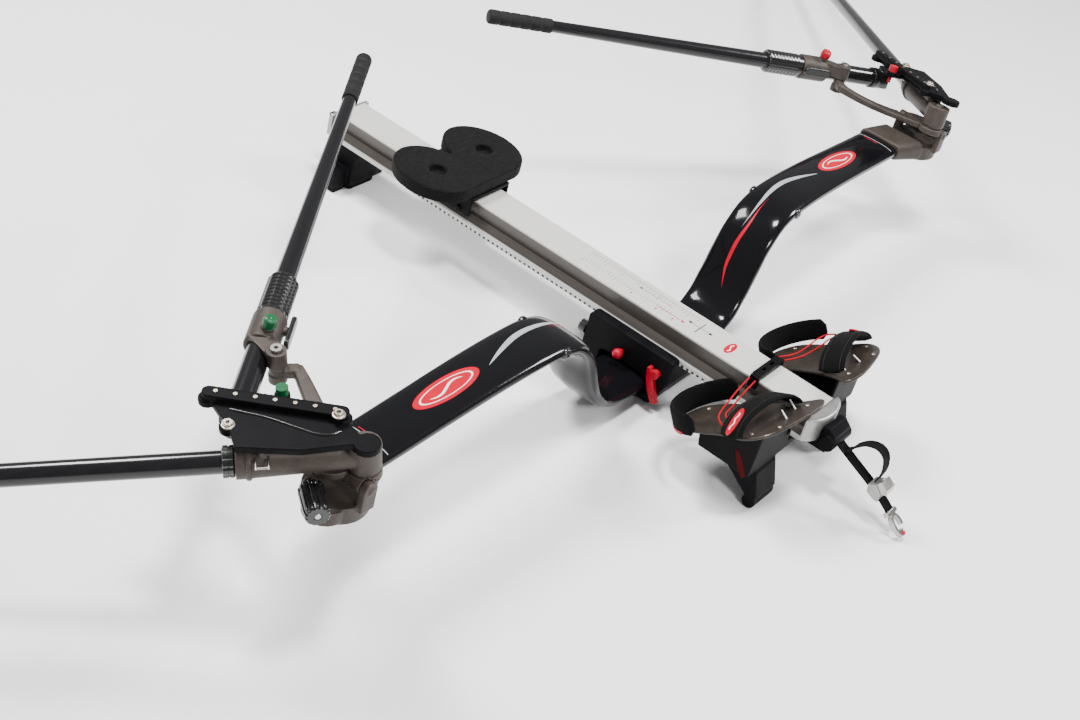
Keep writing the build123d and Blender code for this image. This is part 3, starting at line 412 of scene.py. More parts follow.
def join(*geos):
    vs, fs = [], []
    for v, f in geos:
        k = len(vs)
        vs += list(v)
        fs += [tuple(i + k for i in t) for t in f]
    return vs, fs


def oval(a, b, n=48, p=2.0):
    out = []
    for k in range(n):
        t = 2 * math.pi * k / n
        c, s = math.cos(t), math.sin(t)
        out.append((a * math.copysign(abs(c) ** (2 / p), c), b * math.copysign(abs(s) ** (2 / p), s)))
    return out


def torus(center, axis, R, r, seg=64, sub=14):
    x, y, a = basis(axis)
    c = Vector(center)
    vs, fs = [], []
    for i in range(seg):
        t = 2 * math.pi * i / seg
        d = x * math.cos(t) + y * math.sin(t)
        for j in range(sub):
            u = 2 * math.pi * j / sub
            vs.append(c + d * ((R + r * math.cos(u)) * mm) + a * (r * math.sin(u) * mm))
    for i in range(seg):
        for j in range(sub):
            i2, j2 = (i + 1) % seg, (j + 1) % sub
            fs.append((i * sub + j, i2 * sub + j, i2 * sub + j2, i * sub + j2))
    return vs, fs


def soften(node_names, name, material, body, voxel=1.5, rounds=5, declare=None):
    """A cast or moulded copy of CAD nodes: remeshed finely, with its edges rounded."""
    bm_verts, bm_faces = [], []
    for n in node_names:
        me = NODES[n].data
        k = len(bm_verts)
        bm_verts += [v.co.copy() for v in me.vertices]
        bm_faces += [tuple(i + k for i in p.vertices) for p in me.polygons]
    ob = make(name, bm_verts, bm_faces, material)
    import bmesh
    bm = bmesh.new()
    bm.from_mesh(ob.data)
    bmesh.ops.remove_doubles(bm, verts=bm.verts, dist=1e-5)
    bm.to_mesh(ob.data)
    bm.free()
    r = ob.modifiers.new("r", "REMESH")
    r.mode = "VOXEL"
    r.voxel_size = voxel * mm
    s = ob.modifiers.new("s", "SMOOTH")
    s.factor = 0.5
    s.iterations = rounds
    dg = bpy.context.evaluated_depsgraph_get()
    me = bpy.data.meshes.new_from_object(ob.evaluated_get(dg))
    ob.modifiers.clear()
    old = ob.data
    ob.data = me
    bpy.data.meshes.remove(old)
    if not me.materials:
        me.materials.append(material)
    for p in me.polygons:
        p.use_smooth = True
    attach(ob, body)
    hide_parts(*node_names)
    return ob


def paint(node_name, material):
    me = NODES[node_name].data
    me.materials.clear()
    me.materials.append(material)


# ------------------------------------------------------------------ base finish for every CAD node
SIDE_M = {
    "wing": WING_M, "end_casting": CAST, "yoke": CAST, "pivot_pins": STEEL, "height_knob": KNURL, "collar": CAST,
    "tail_block": CAST, "collar_lever": CAST, "handle_shaft": CARBON, "handle_sleeve": KNURL, "grip": RUBBER,
    "outboard_socket": CAST, "guide_plate": BLACK, "plate_screws": TAN, "wire_clip": STEEL, "outboard_shaft": OLIVE,
    "blade": CARBON,
}
for side in ("starboard", "port"):
    for k, m in SIDE_M.items():
        paint(side + "_" + k, m)
    paint(side + "_collar_knob", GREEN if side == "starboard" else RED)
    paint(side + "_release_knob", GREEN if side == "starboard" else RED)
for k, m in {
    "monorail": RAIL_M, "rack_strips": RACK, "rail_end_caps": SILVER, "rear_foot": BLACK, "seat_pad": FOAM,
    "seat_carriage": CAST, "seat_front_rollers": BRASS, "seat_rear_rollers": BRASS, "clamp_housing": BLACK,
    "wing_lock_knob": RED, "wing_clamp_lever": RED, "rail_position_knob": KNURL, "stretcher_frame": BLACK,
    "cord_bracket": BLACK,
    "front_bracket": BLACK, "web_strap": WEB, "cam_buckle": SILVER, "cam_lever": STEEL, "snap_hook": STEEL,
}.items():
    paint(k, m)

# ------------------------------------------------------------------ wings
WING = [  # centre x, y, z, tangent (dx, dz), chord, thickness, mm
    (41, 28, -119, (1, 0), 112, 26),
    (110, 28, -120, (1, 0.02), 113, 27),
    (168, 26, -119, (1, 0.14), 114, 28),
    (222, 22, -98, (0.82, 0.7), 115, 30),
    (256, 18, -58, (0.5, 0.9), 116, 31),
    (280, 16, -8, (0.42, 1.0), 116, 32),
    (308, 14, 42, (0.62, 0.8), 114, 32),
    (354, 12, 80, (0.92, 0.42), 112, 31),
    (430, 10, 94, (1, 0.06), 110, 30),
    (560, 9, 94, (1, -0.02), 107, 30),
    (700, 9, 88, (1, -0.05), 103, 29),
    (856, 10, 82, (1, -0.03), 100, 28),
]
WPATH = []
for a, b_ in zip(WING, WING[1:]):
    pa, pb = Vector(a[:3]), Vector(b_[:3])
    dist = (pb - pa).length
    ta = Vector((a[3][0], 0, a[3][1])).normalized() * dist
    tb = Vector((b_[3][0], 0, b_[3][1])).normalized() * dist
    count = max(1, round(dist / 6))
    for k in range(count):
        u = k / count
        p = pa * (2 * u ** 3 - 3 * u ** 2 + 1) + ta * (u ** 3 - 2 * u ** 2 + u) + pb * (-2 * u ** 3 + 3 * u ** 2) + tb * (u ** 3 - u ** 2)
        t = pa * (6 * u ** 2 - 6 * u) + ta * (3 * u ** 2 - 4 * u + 1) + pb * (-6 * u ** 2 + 6 * u) + tb * (3 * u ** 2 - 2 * u)
        WPATH.append((p, t.normalized(), a[4] + (b_[4] - a[4]) * u, a[5] + (b_[5] - a[5]) * u))
WPATH.append((Vector(WING[-1][:3]), Vector((1, 0, -0.03)).normalized(), WING[-1][4], WING[-1][5]))
WS = [0.0]
for p, q in zip(WPATH, WPATH[1:]):
    WS.append(WS[-1] + (q[0] - p[0]).length)


def wing_at(s):
    s = max(0.0, min(WS[-1], s))
    i = 0
    while i < len(WS) - 2 and WS[i + 1] < s:
        i += 1
    u = (s - WS[i]) / (WS[i + 1] - WS[i])
    a, c = WPATH[i], WPATH[i + 1]
    t = (a[1] * (1 - u) + c[1] * u).normalized()
    return a[0].lerp(c[0], u), t, a[2] + (c[2] - a[2]) * u, a[3] + (c[3] - a[3]) * u


def wing_top(s, v, lift=0.0):
    """Point on the wing's upper face: s along it in mm, v from -1 (aft edge) to 1 (bow edge)."""
    p, t, c, h = wing_at(s)
    up = Vector((-t.z, 0, t.x))
    hh = h / 2 * (1 - min(1.0, abs(v)) ** 2.8) ** (1 / 2.8)
    return (p + Vector((0, v * c / 2, 0)) + up * (hh + lift)) * mm


def wing_geo():
    vs, rings = [], []
    sec = []
    for k in range(72):
        t = 2 * math.pi * k / 72
        c, s_ = math.cos(t), math.sin(t)
        sec.append((math.copysign(abs(c) ** (2 / 2.8), c), math.copysign(abs(s_) ** (2 / 2.8), s_)))
    for p, t, c, h in WPATH:
        up = Vector((-t.z, 0, t.x))
        ring = []
        for a, e in sec:
            ring.append(len(vs))
            vs.append((p + Vector((0, a * c / 2, 0)) + up * (e * h / 2)) * mm)
        rings.append(ring)
    fs = [tuple(rings[0]), tuple(reversed(rings[-1]))]
    for p, q in zip(rings, rings[1:]):
        for k in range(72):
            j = (k + 1) % 72
            fs.append((p[k], q[k], q[j], p[j]))
    return vs, fs


def strip(path, width, lift=0.25):
    """Closed thin inlay on the wing. path: [(s, v)], width: function of 0..1 in mm."""
    n = 60
    acc = [0.0]
    for a, c in zip(path, path[1:]):
        acc.append(acc[-1] + math.hypot(c[0] - a[0], (c[1] - a[1]) * 56))
    pts = []
    for k in range(n + 1):
        d = acc[-1] * k / n
        i = 0
        while i < len(acc) - 2 and acc[i + 1] < d:
            i += 1
        u = (d - acc[i]) / (acc[i + 1] - acc[i])
        p0, p1, p2, p3 = path[max(0, i - 1)], path[i], path[i + 1], path[min(len(path) - 1, i + 2)]
        pts.append(tuple(0.5 * ((2 * p1[m]) + (-p0[m] + p2[m]) * u + (2 * p0[m] - 5 * p1[m] + 4 * p2[m] - p3[m]) * u * u + (-p0[m] + 3 * p1[m] - 3 * p2[m] + p3[m]) * u ** 3) for m in (0, 1)))
    vs, fs = [], []
    cols = 5
    for k, (s_, v) in enumerate(pts):
        a, c = pts[max(0, k - 1)], pts[min(n, k + 1)]
        d = Vector((c[0] - a[0], (c[1] - a[1]) * 56)).normalized()
        w_ = max(0.25, width(k / n))
        for j in range(cols):
            o = (j / (cols - 1) - 0.5) * w_
            q = (s_ - d.y * o, v + d.x * o / 56)
            vs.append(wing_top(q[0], q[1], lift))
        for j in (cols - 1, 0):
            o = (j / (cols - 1) - 0.5) * w_
            q = (s_ - d.y * o, v + d.x * o / 56)
            vs.append(wing_top(q[0], q[1], -0.4))
    m_ = cols + 2
    for k in range(n):
        for j in range(m_):
            j2 = (j + 1) % m_
            fs.append((k * m_ + j, k * m_ + j2, (k + 1) * m_ + j2, (k + 1) * m_ + j))
    fs.append(tuple(reversed(range(m_))))
    fs.append(tuple(n * m_ + j for j in range(m_)))
    return vs, fs


def oval_inlay(s0, v0, a, b, r0=0.0, lift=0.25, tilt=0.0, n=72):
    """Closed thin disc or ring on the wing's top face."""
    vs, rings = [], []
    rr = [r0 + (1 - r0) * k / 6 for k in range(7)]
    for r, li in [(x, lift) for x in rr] + [(1.0, -0.4)] + ([(r0, -0.4)] if r0 else []):
        ring = []
        if r == 0:
            ring = [len(vs)]
            vs.append(wing_top(s0, v0, li))
        else:
            for k in range(n):
                t = 2 * math.pi * k / n
                x, y = a * r * math.cos(t), b * r * math.sin(t)
                ring.append(len(vs))
                vs.append(wing_top(s0 + x * math.cos(tilt) - y * math.sin(tilt), v0 + (x * math.sin(tilt) + y * math.cos(tilt)) / 53, li))
        rings.append(ring)
    fs = []
    pairs = list(zip(rings, rings[1:])) + ([(rings[-1], rings[0])] if r0 else [])
    for p, q in pairs:
        for k in range(n):
            j = (k + 1) % n
            if len(p) == 1:
                fs.append((p[0], q[k], q[j]))
            else:
                fs.append((p[k], q[k], q[j], p[j]))
    if not r0:
        fs.append(tuple(reversed(rings[-1])))
    return vs, fs


def taper(k, peak, w0):
    return w0 * (math.sin(math.pi * min(1, max(0, k)) ** peak) ** 1.2)


for side, sgn in (("starboard", 1), ("port", -1)):
    emit(side + "_wing_shell", wing_geo(), WING_M, "rig_base", "wing_carbon", (side + "_wing",), sgn)
    emit(side + "_wing_swoosh", strip([(612, 0.12), (568, -0.13), (524, -0.32), (490, -0.37), (448, -0.33), (422, -0.28), (392, -0.25), (358, -0.28)], lambda k: taper(k, 0.8, 11)), PRINT_PALE, "rig_base", "silver_paint", sgn=sgn)
    emit(side + "_wing_red_line", strip([(436, -0.16), (404, -0.12), (378, -0.10), (352, -0.12), (326, -0.15), (300, -0.14), (275, -0.10), (253, 0.0), (231, 0.14)], lambda k: taper(k, 1.25, 8)), PRINT_RED, "rig_base", "red_plastic", sgn=sgn)
    emit(side + "_wing_badge", oval_inlay(712, 0.0, 78, 23, tilt=0.0), PRINT_RED, "rig_base", "red_plastic", sgn=sgn)
    emit(side + "_wing_badge_ring", oval_inlay(712, 0.0, 64, 16, r0=0.93, lift=0.42), PRINT_WHITE, "rig_base", "silver_paint", sgn=sgn)
    wave = [(712 + dx, 0.12 * math.sin(dx / 15.0)) for dx in range(-42, 43, 7)]
    emit(side + "_wing_badge_wave", strip(wave, lambda k: 4.5 * math.sin(math.pi * k) ** 0.6, lift=0.42), PRINT_WHITE, "rig_base", "silver_paint", sgn=sgn)
    # pale end line and thin red line beside the casting
    emit(side + "_wing_end_line", strip([(896, v) for v in (-0.86, -0.5, 0, 0.5, 0.86)], lambda k: 1.8), PRINT_PALE, "rig_base", "silver_paint", sgn=sgn)
    emit(side + "_wing_end_red", strip([(889, v) for v in (-0.55, -0.2, 0.15)], lambda k: 1.6), PRINT_RED, "rig_base", "red_plastic", sgn=sgn)
    # knee caps on both edges
    for nm, s_, v in (("aft", 448, -1), ("bow", 456, 1)):
        p, t, c, h = wing_at(s_)
        o = (p + Vector((0, v * c / 2 * 0.9, 0))) * mm
        g = lathe(o, (0, v, 0), [(0, 0), (0, 11.5), (5, 11.5), (8, 9.5), (9.5, 6), (9.5, 3.2), (7.5, 3.0), (7.5, 0)], 40)
        emit(side + "_knee_cap_" + nm, g, KNURL, "rig_base", "black_plastic", sgn=sgn)

# ------------------------------------------------------------------ rail scale
def bar(name, x0, x1, y0, y1, material, slot="red_plastic", z=0.0, t=0.22):
    v, f = slab([(x0, y0), (x1, y0), (x1, y1), (x0, y1)], (0, 0, z), (1, 0, 0), (0, 1, 0), (0, 0, 1), -0.3, t, 0.05)
    return v, f


grey, red_, black_ = [], [], []
for k in range(34):
    y = -168 + k * 8.0
    long_ = k % 5 == 0
    grey.append(bar("t", -27, -27 + (17 if long_ else 10), y, y + 1.0, None))
    if k < 28:
        grey.append(bar("t", 3, 3 + (15 if long_ else 9), y, y + 1.0, None))
grey.append(bar("t", -28, -27.2, -168, 104, None))
for y in (-40, 20, 60):
    red_.append(bar("t", 17, 24, y, y + 2.4, None))
red_.append(bar("t", 8.8, 10.6, 20, 74, None))
red_.append(slab([(5.5, 76), (13.5, 76), (9.5, 85)], (0, 0, 0), (1, 0, 0), (0, 1, 0), (0, 0, 1), -0.3, 0.22, 0.05))
for y0, y1 in ((-34, 2), (8, 40)):
    black_.append(bar("t", -12, -11, y0, y1, None))
black_.append(slab([(-15, -34), (-8, -34), (-11.5, -42)], (0, 0, 0), (1, 0, 0), (0, 1, 0), (0, 0, 1), -0.3, 0.22, 0.05))
black_.append(bar("t", -21, -5, 4, 5.2, None))
# cross mark with arrow heads
black_.append(bar("t", -24, 18, 112, 114, None))
black_.append(bar("t", -4, -2.8, 92, 134, None))
black_.append(slab([(-8, 134), (1.2, 134), (-3.4, 142)], (0, 0, 0), (1, 0, 0), (0, 1, 0), (0, 0, 1), -0.3, 0.22, 0.05))
black_.append(slab([(-8, 92), (1.2, 92), (-3.4, 84)], (0, 0, 0), (1, 0, 0), (0, 1, 0), (0, 0, 1), -0.3, 0.22, 0.05))
emit("scale_grey", join(*grey), PRINT_GREY, "rig_base", "silver_paint", smooth=False)
emit("scale_red", join(*red_), PRINT_RED, "rig_base", "red_plastic", smooth=False)
emit("scale_black", join(*black_), PRINT_BLACK, "rig_base", "black_plastic", smooth=False)
emit("rail_badge", slab(oval(21, 9, 60), (0, 0.186, 0), (1, 0, 0), (0, 1, 0), (0, 0, 1), -0.3, 0.12, 0.04), PRINT_RED, "rig_base", "red_plastic")
emit("rail_badge_bar", slab([(x, 2.2 * math.sin(x / 4.0) + 1.2) for x in range(-13, 14)] + [(x, 2.2 * math.sin(x / 4.0) - 1.2) for x in range(13, -14, -1)], (0, 0.186, 0), (1, 0, 0), (0, 1, 0), (0, 0, 1), 0.02, 0.17, 0.02), PRINT_WHITE, "rig_base", "silver_paint")

# ------------------------------------------------------------------ shafts, grips, knobs
for side, sgn in (("starboard", 1), ("port", -1)):
    K = GREEN if sgn > 0 else RED
    kslot = "red_plastic" if sgn < 0 else "green_plastic"
    s_ = side + "_"
    emit(s_ + "handle_tube", lathe(H0, DH, [(-66, 0), (-66, 18.5), (-65, 20), (239, 20), (240.5, 17.6), (774, 12.6), (775, 0)], 96), CARBON, s_ + "handle", "carbon", (s_ + "handle_shaft",), sgn)
    prof = [(146.6, 0), (146.6, 23.2), (148, 24.4)]
    for k in range(9):
        c0 = 158 + 9 * k
        prof += [(c0 - 1.4, 24.4), (c0, 25.8), (c0 + 3.2, 26.0), (c0 + 4.6, 24.4)]
    prof += [(236.5, 24.4), (238, 23.4), (238.2, 21.0), (238.2, 0)]
    emit(s_ + "ribbed_sleeve", lathe(H0, DH, prof, 120, ribs=6, rib_depth=1.1), KNURL, s_ + "handle", "black_rubber", (s_ + "handle_sleeve",), sgn)
    prof = [(774.3, 0), (774.3, 14.2), (775.5, 15.4)]
    for k in range(6):
        c0 = 774.3 + (0, 26, 50, 74, 98, 122)[k]
        c1 = c0 + (20 if k < 5 else 24)
        prof += [(c0 + 1.0, 15.5), (c1 - 1.0, 15.5), (c1, 14.9), (c1 + 1.6, 14.1), (c1 + 3.2, 14.4)] if k < 5 else [(c0 + 1.0, 15.5), (c1 - 5.0, 15.5), (c1 - 2.4, 14.6), (c1 - 0.6, 12.0), (c1, 8.0), (c1, 0)]
    emit(s_ + "grip_rubber", lathe(H0, DH, prof, 120, ribs=24, rib_depth=0.5), RUBBER, s_ + "handle", "black_rubber", (s_ + "grip",), sgn)
    # ball knobs
    ko = oh(95) + KN * 0.023
    emit(s_ + "collar_ball", lathe(ko, KN, [(0.2, 0), (0.2, 4.0), (12, 4.0), (12, 9.6), (13.2, 11.2), (16, 11.5), (23, 11.5), (26.5, 10.6), (28.4, 8.2), (29, 4.5), (29, 2.2), (28.3, 2.0), (28.3, 0)], 72, ribs=12, rib_depth=0.35), K, s_ + "collar_knob", kslot, (s_ + "collar_knob",), sgn)
    emit(s_ + "collar_ball_pin", rod(ko, KN, 28.0, 29.3, 1.7, 24, 0.3), STEEL, s_ + "collar_knob", "steel", sgn=sgn)
    # height knob: ribbed barrel with a bright end screw
    prof = [(-35, 0), (-35, 5.9), (-20, 5.9), (-20, 17.5), (-18.5, 19.6), (-12, 20.0), (-11, 18.9), (-8, 18.9), (-7, 20.0), (30, 20.0), (32, 19.6), (38, 18.6), (40, 16.6), (40, 6.5), (38.2, 6.0), (38.2, 0)]
    emit(s_ + "height_barrel", lathe(KC, KD, prof, 168, ribs=14, rib_depth=2.0), KNURL, s_ + "height_knob", "black_plastic", (s_ + "height_knob",), sgn)
    emit(s_ + "height_screw", rod(KC, KD, 38.0, 40.0, 5.0, 30, 0.5), STEEL, s_ + "height_knob", "steel", sgn=sgn)
    # outboard tube and its locking ring
    emit(s_ + "outboard_tube", lathe(O0, DO, [(-55, 0), (-55, 16.6), (-54, 17.5), (1424, 17.5), (1427, 16.0), (1427, 0)], 96), CARBON if sgn > 0 else OLIVE, s_ + "blade", "olive_carbon", (s_ + "outboard_shaft",), sgn)
    emit(s_ + "outboard_ring", lathe(O0, DO, [(0.6, 17.0), (0.6, 21.6), (1.4, 22.6), (2.6, 23.8), (7.5, 24.0), (8.0, 22.8), (9.4, 22.8), (10.0, 24.0), (17, 24.0), (18.3, 22.6), (18.5, 17.0)], 160, ribs=10, rib_depth=1.6), KNURL, s_ + "blade", "black_plastic", sgn=sgn)

# castings: softened copies of the CAD nodes
for side in ("starboard", "port"):
    s_ = side + "_"
    soften([s_ + "end_casting"], s_ + "end_casting_skin", CAST, "rig_base", 1.6, 6)
    soften([s_ + "yoke"], s_ + "yoke_skin", CAST, s_ + "yoke", 1.4, 5)
    soften([s_ + "collar"], s_ + "collar_skin", CAST, s_ + "collar", 1.1, 4)
    soften([s_ + "collar_lever"], s_ + "collar_lever_skin", MOULD, s_ + "collar_lever", 0.9, 3)
    soften([s_ + "tail_block"], s_ + "tail_block_skin", MOULD, s_ + "collar", 1.1, 4)
    soften([s_ + "outboard_socket"], s_ + "socket_skin", CAST, s_ + "outboard", 1.3, 4)
    soften([s_ + "guide_plate"], s_ + "guide_plate_skin", BLACK, s_ + "outboard", 1.3, 4)
soften(["clamp_housing"], "clamp_housing_skin", BLACK, "rig_base", 1.9, 6)
soften(["wing_clamp_lever"], "wing_clamp_lever_skin", RED, "wing_clamp_lever", 0.9, 4)
soften(["stretcher_frame"], "stretcher_frame_skin", BLACK, "stretcher", 2.2, 7)
soften(["rear_foot"], "rear_foot_skin", BLACK, "rig_base", 2.0, 6)
soften(["front_bracket"], "front_bracket_skin", BLACK, "rig_base", 1.3, 5)
soften(["cord_bracket"], "cord_bracket_skin", BLACK, "stretcher", 1.0, 3)
soften(["cam_buckle"], "cam_buckle_skin", SILVER, "rig_base", 0.8, 3)
soften(["snap_hook"], "snap_hook_skin", STEEL, "rig_base", 0.8, 3)
soften(["seat_carriage"], "seat_carriage_skin", BLACK, "seat", 1.3, 3)
seat = soften(["seat_pad"], "seat_foam_pad", FOAM, "seat", 2.2, 14)

# ------------------------------------------------------------------ feet
FC = Vector((0.147, 0.310, -0.0125))
FD = (Vector((0.138, 0.405, 0.045)) - Vector((0.156, 0.215, -0.070))).normalized()
FN = Vector((0, -FD.z, FD.y))
FN = (FN - FD * FN.dot(FD)).normalized()
FY = FN.cross(FD)
FD2 = (FD * 0.969 - FY * 0.246).normalized()
FS2 = FD2.cross(FN).normalized()
if FS2.x < 0:
    FS2 = -FS2


def band(center, u, v, w, mid, half_w, half_t, t0, t1, seg=72, sub=28, lip=0.0):
    """Padded band: a rounded section carried round an ellipse in the plane (u, v), as wide as w."""
    vs, fs = [], []
    for i in range(seg + 1):
        t = t0 + (t1 - t0) * i / seg
        p = center + u * (mid[0] * math.cos(t) * mm) + v * (mid[1] * math.sin(t) * mm)
        n = (u * (math.cos(t) / mid[0]) + v * (math.sin(t) / mid[1])).normalized()
        e = min(1.0, min(i, seg - i) / 3.0 * 0.5 + 0.5)
        for j in range(sub):
            a = 2 * math.pi * j / sub
            c, d = math.cos(a), math.sin(a)
            x = math.copysign(abs(c) ** 0.55, c)
            y = math.copysign(abs(d) ** 0.8, d)
            crown = 1.0 + lip * (1 - x * x)
            vs.append(p + w * (x * half_w * e * mm) + n * (y * half_t * crown * e * mm))
    for i in range(seg):
        for j in range(sub):
            k = (j + 1) % sub
            fs.append((i * sub + j, i * sub + k, (i + 1) * sub + k, (i + 1) * sub + j))
    fs.append(tuple(reversed(range(sub))))
    fs.append(tuple(seg * sub + j for j in range(sub)))
    x0, x1, x2 = (vs[k] for k in fs[0][:3])
    c0 = center + u * (mid[0] * math.cos(t0) * mm) + v * (mid[1] * math.sin(t0) * mm)
    if (x1 - x0).cross(x2 - x0).dot(x0 - c0) < 0:
        fs = [tuple(reversed(f)) for f in fs]
    return vs, fs


def ring_spline(points, per=8):
    out, n = [], len(points)
    for i in range(n):
        p0, p1, p2, p3 = (points[(i + k) % n] for k in (-1, 0, 1, 2))
        for j in range(per):
            u = j / per
            out.append(tuple(0.5 * (2 * p1[m] + (p2[m] - p0[m]) * u + (2 * p0[m] - 5 * p1[m] + 4 * p2[m] - p3[m]) * u * u + (3 * p1[m] - p0[m] - 3 * p2[m] + p3[m]) * u ** 3) for m in (0, 1)))
    return out


LEAF = ring_spline([(-118, 0), (-86, -56), (0, -72), (52, -88), (92, -66), (118, 0), (130, 60), (120, 94), (86, 82), (30, 68), (-86, 54)])
P0 = FC + FD * 0.026 - FY * 0.006 + FN * 0.0023
HC = FC - FD * 0.040 - FY * 0.005 + FN * 0.0023
for side, sgn in (("starboard", 1), ("port", -1)):
    s_ = side + "_foot_"
    emit(s_ + "leaf", slab(LEAF, FC - FN * 0.004, FD, FY, FN, 0, 6, 1.6), PLATE_BROWN, "stretcher", "foot_plate", ("foot_plates",) if sgn > 0 else (), sgn)
    arch = band(P0 + FD2 * 0.026, FS2, FN, FD2, (84, 37), 25.5, 3.9, 0.035, math.pi - 0.035)
    ob = emit(s_ + "arch_pad", arch, PAD_FABRIC, "stretcher", "strap", ("foot_straps",) if sgn > 0 else (), sgn, angle=60)
    top = band(P0 + FD2 * 0.026, FS2, FN, FD2, (87.2, 40.2), 17, 1.5, 0.10, math.pi - 0.10)
    emit(s_ + "arch_web", top, WEB, "stretcher", "strap", (), sgn, angle=60)
    for k, off in enumerate((0.0095, 0.0425)):
        seam = band(P0 + FD2 * off, FS2, FN, FD2, (88.1, 41.1), 0.7, 0.5, 0.14, math.pi - 0.14, sub=10)
        emit(s_ + "arch_seam_%d" % k, seam, RUBBER, "stretcher", "black_rubber", (), sgn, angle=60)
    cup = band(HC + FN * 0.022, FD, FY, FN, (80, 86), 21.5, 3.9, math.pi / 2 + 0.03, 1.5 * math.pi - 0.03)
    ob = emit(s_ + "heel_cup", cup, PAD_FABRIC, "stretcher", "strap", (), sgn, angle=60)
    # oval print on the outer flank of the arch, red edge on the heel
    tt = math.radians(40)
    oc = P0 + FD2 * 0.026 + FS2 * (0.0890 * math.cos(tt)) + FN * (0.0420 * math.sin(tt))
    on_ = (FS2 * (math.cos(tt) / 87) + FN * (math.sin(tt) / 40)).normalized()
    ou = (FD2.cross(on_)).normalized()
    emit(s_ + "oval", slab(oval(30, 9, 60), oc, ou, FD2, on_, -2.2, 0.9, 0.3), PRINT_RED, "stretcher", "red_plastic", (), sgn)
    emit(s_ + "oval_bar", slab([(x, 1.6 * math.sin(x / 3.0) + 1.3) for x in range(-19, 20)] + [(x, 1.6 * math.sin(x / 3.0) - 1.3) for x in range(19, -20, -1)], oc, ou, FD2, on_, 0.5, 1.2, 0.1), PRINT_WHITE, "stretcher", "silver_paint", (), sgn)
    hr = band(HC + FN * 0.004, FD, FY, FN, (84.2, 90.2), 3.2, 0.6, math.pi * 1.08, math.pi * 1.38, sub=14)
    emit(s_ + "heel_red", hr, PRINT_RED, "stretcher", "red_plastic", (), sgn, angle=60)
    # rivets and pins
    for k, (a, c) in enumerate(((96, -36), (58, -70), (-4, -58), (104, 62), (66, 60), (-84, 34), (-84, -34))):
        o = FC + FD * (a * mm) + FY * (c * mm)
        emit(s_ + "rivet_%d" % k, lathe(o, FN, [(0.5, 0), (0.5, 4.2), (3.0, 4.2), (3.9, 3.2), (4.4, 1.6), (4.5, 0)], 28), TAN, "stretcher", "bronze_casting", (), sgn)
    for k, (a, c, h) in enumerate(((88, 46, 22), (92, 2, 20))):
        o = FC + FD * (a * mm) + FY * (c * mm)
        ax = (FN * 0.8 - FD * 0.5 + FY * 0.25).normalized()
        emit(s_ + "pin_%d" % k, lathe(o, ax, [(1.0, 0), (1.0, 1.5), (h - 0.8, 1.3), (h, 0.7), (h + 0.2, 0)], 20), PRINT_WHITE, "stretcher", "silver_paint", (), sgn)

CORDS = (
    [(52, 262, 5), (96, 267, 4), (140, 276, 8), (186, 284, 7), (211, 293, 8), (221.7, 311.1, 10.3)],
    [(52, 275, 5), (96, 279, 3), (140, 288, 6), (176, 293, 8), (198, 298, 14), (207.8, 308.9, 18.4)],
    [(-52, 262, 5), (-84, 274, 0), (-118, 282, 6), (-152, 284, 14), (-186, 286, 12), (-211, 293, 9), (-221.7, 311.1, 10.3)],
    [(-52, 275, 5), (-86, 288, 3), (-120, 296, 8), (-152, 301, 13), (-180, 299, 15), (-207.8, 308.9, 18.4)],
)
for k, pts in enumerate(CORDS):
    cu = bpy.data.curves.new("foot_cord_%d" % k, "CURVE")
    cu.dimensions = "3D"
    sp = cu.splines.new("NURBS")
    sp.points.add(len(pts) - 1)
    for p, q in zip(sp.points, pts):
        p.co = (q[0] * mm, q[1] * mm, q[2] * mm, 1)
    sp.order_u = 3
    sp.use_endpoint_u = True
    sp.resolution_u = 16
    cu.bevel_depth = 1.6 * mm
    cu.bevel_resolution = 6
    cu.use_fill_caps = True
    cu.materials.append(CORD_RED)
    ob = bpy.data.objects.new("foot_cord_%d" % k, cu)
    SC.collection.objects.link(ob)
    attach(ob, "stretcher")
    if k == 0:
        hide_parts("foot_cords")

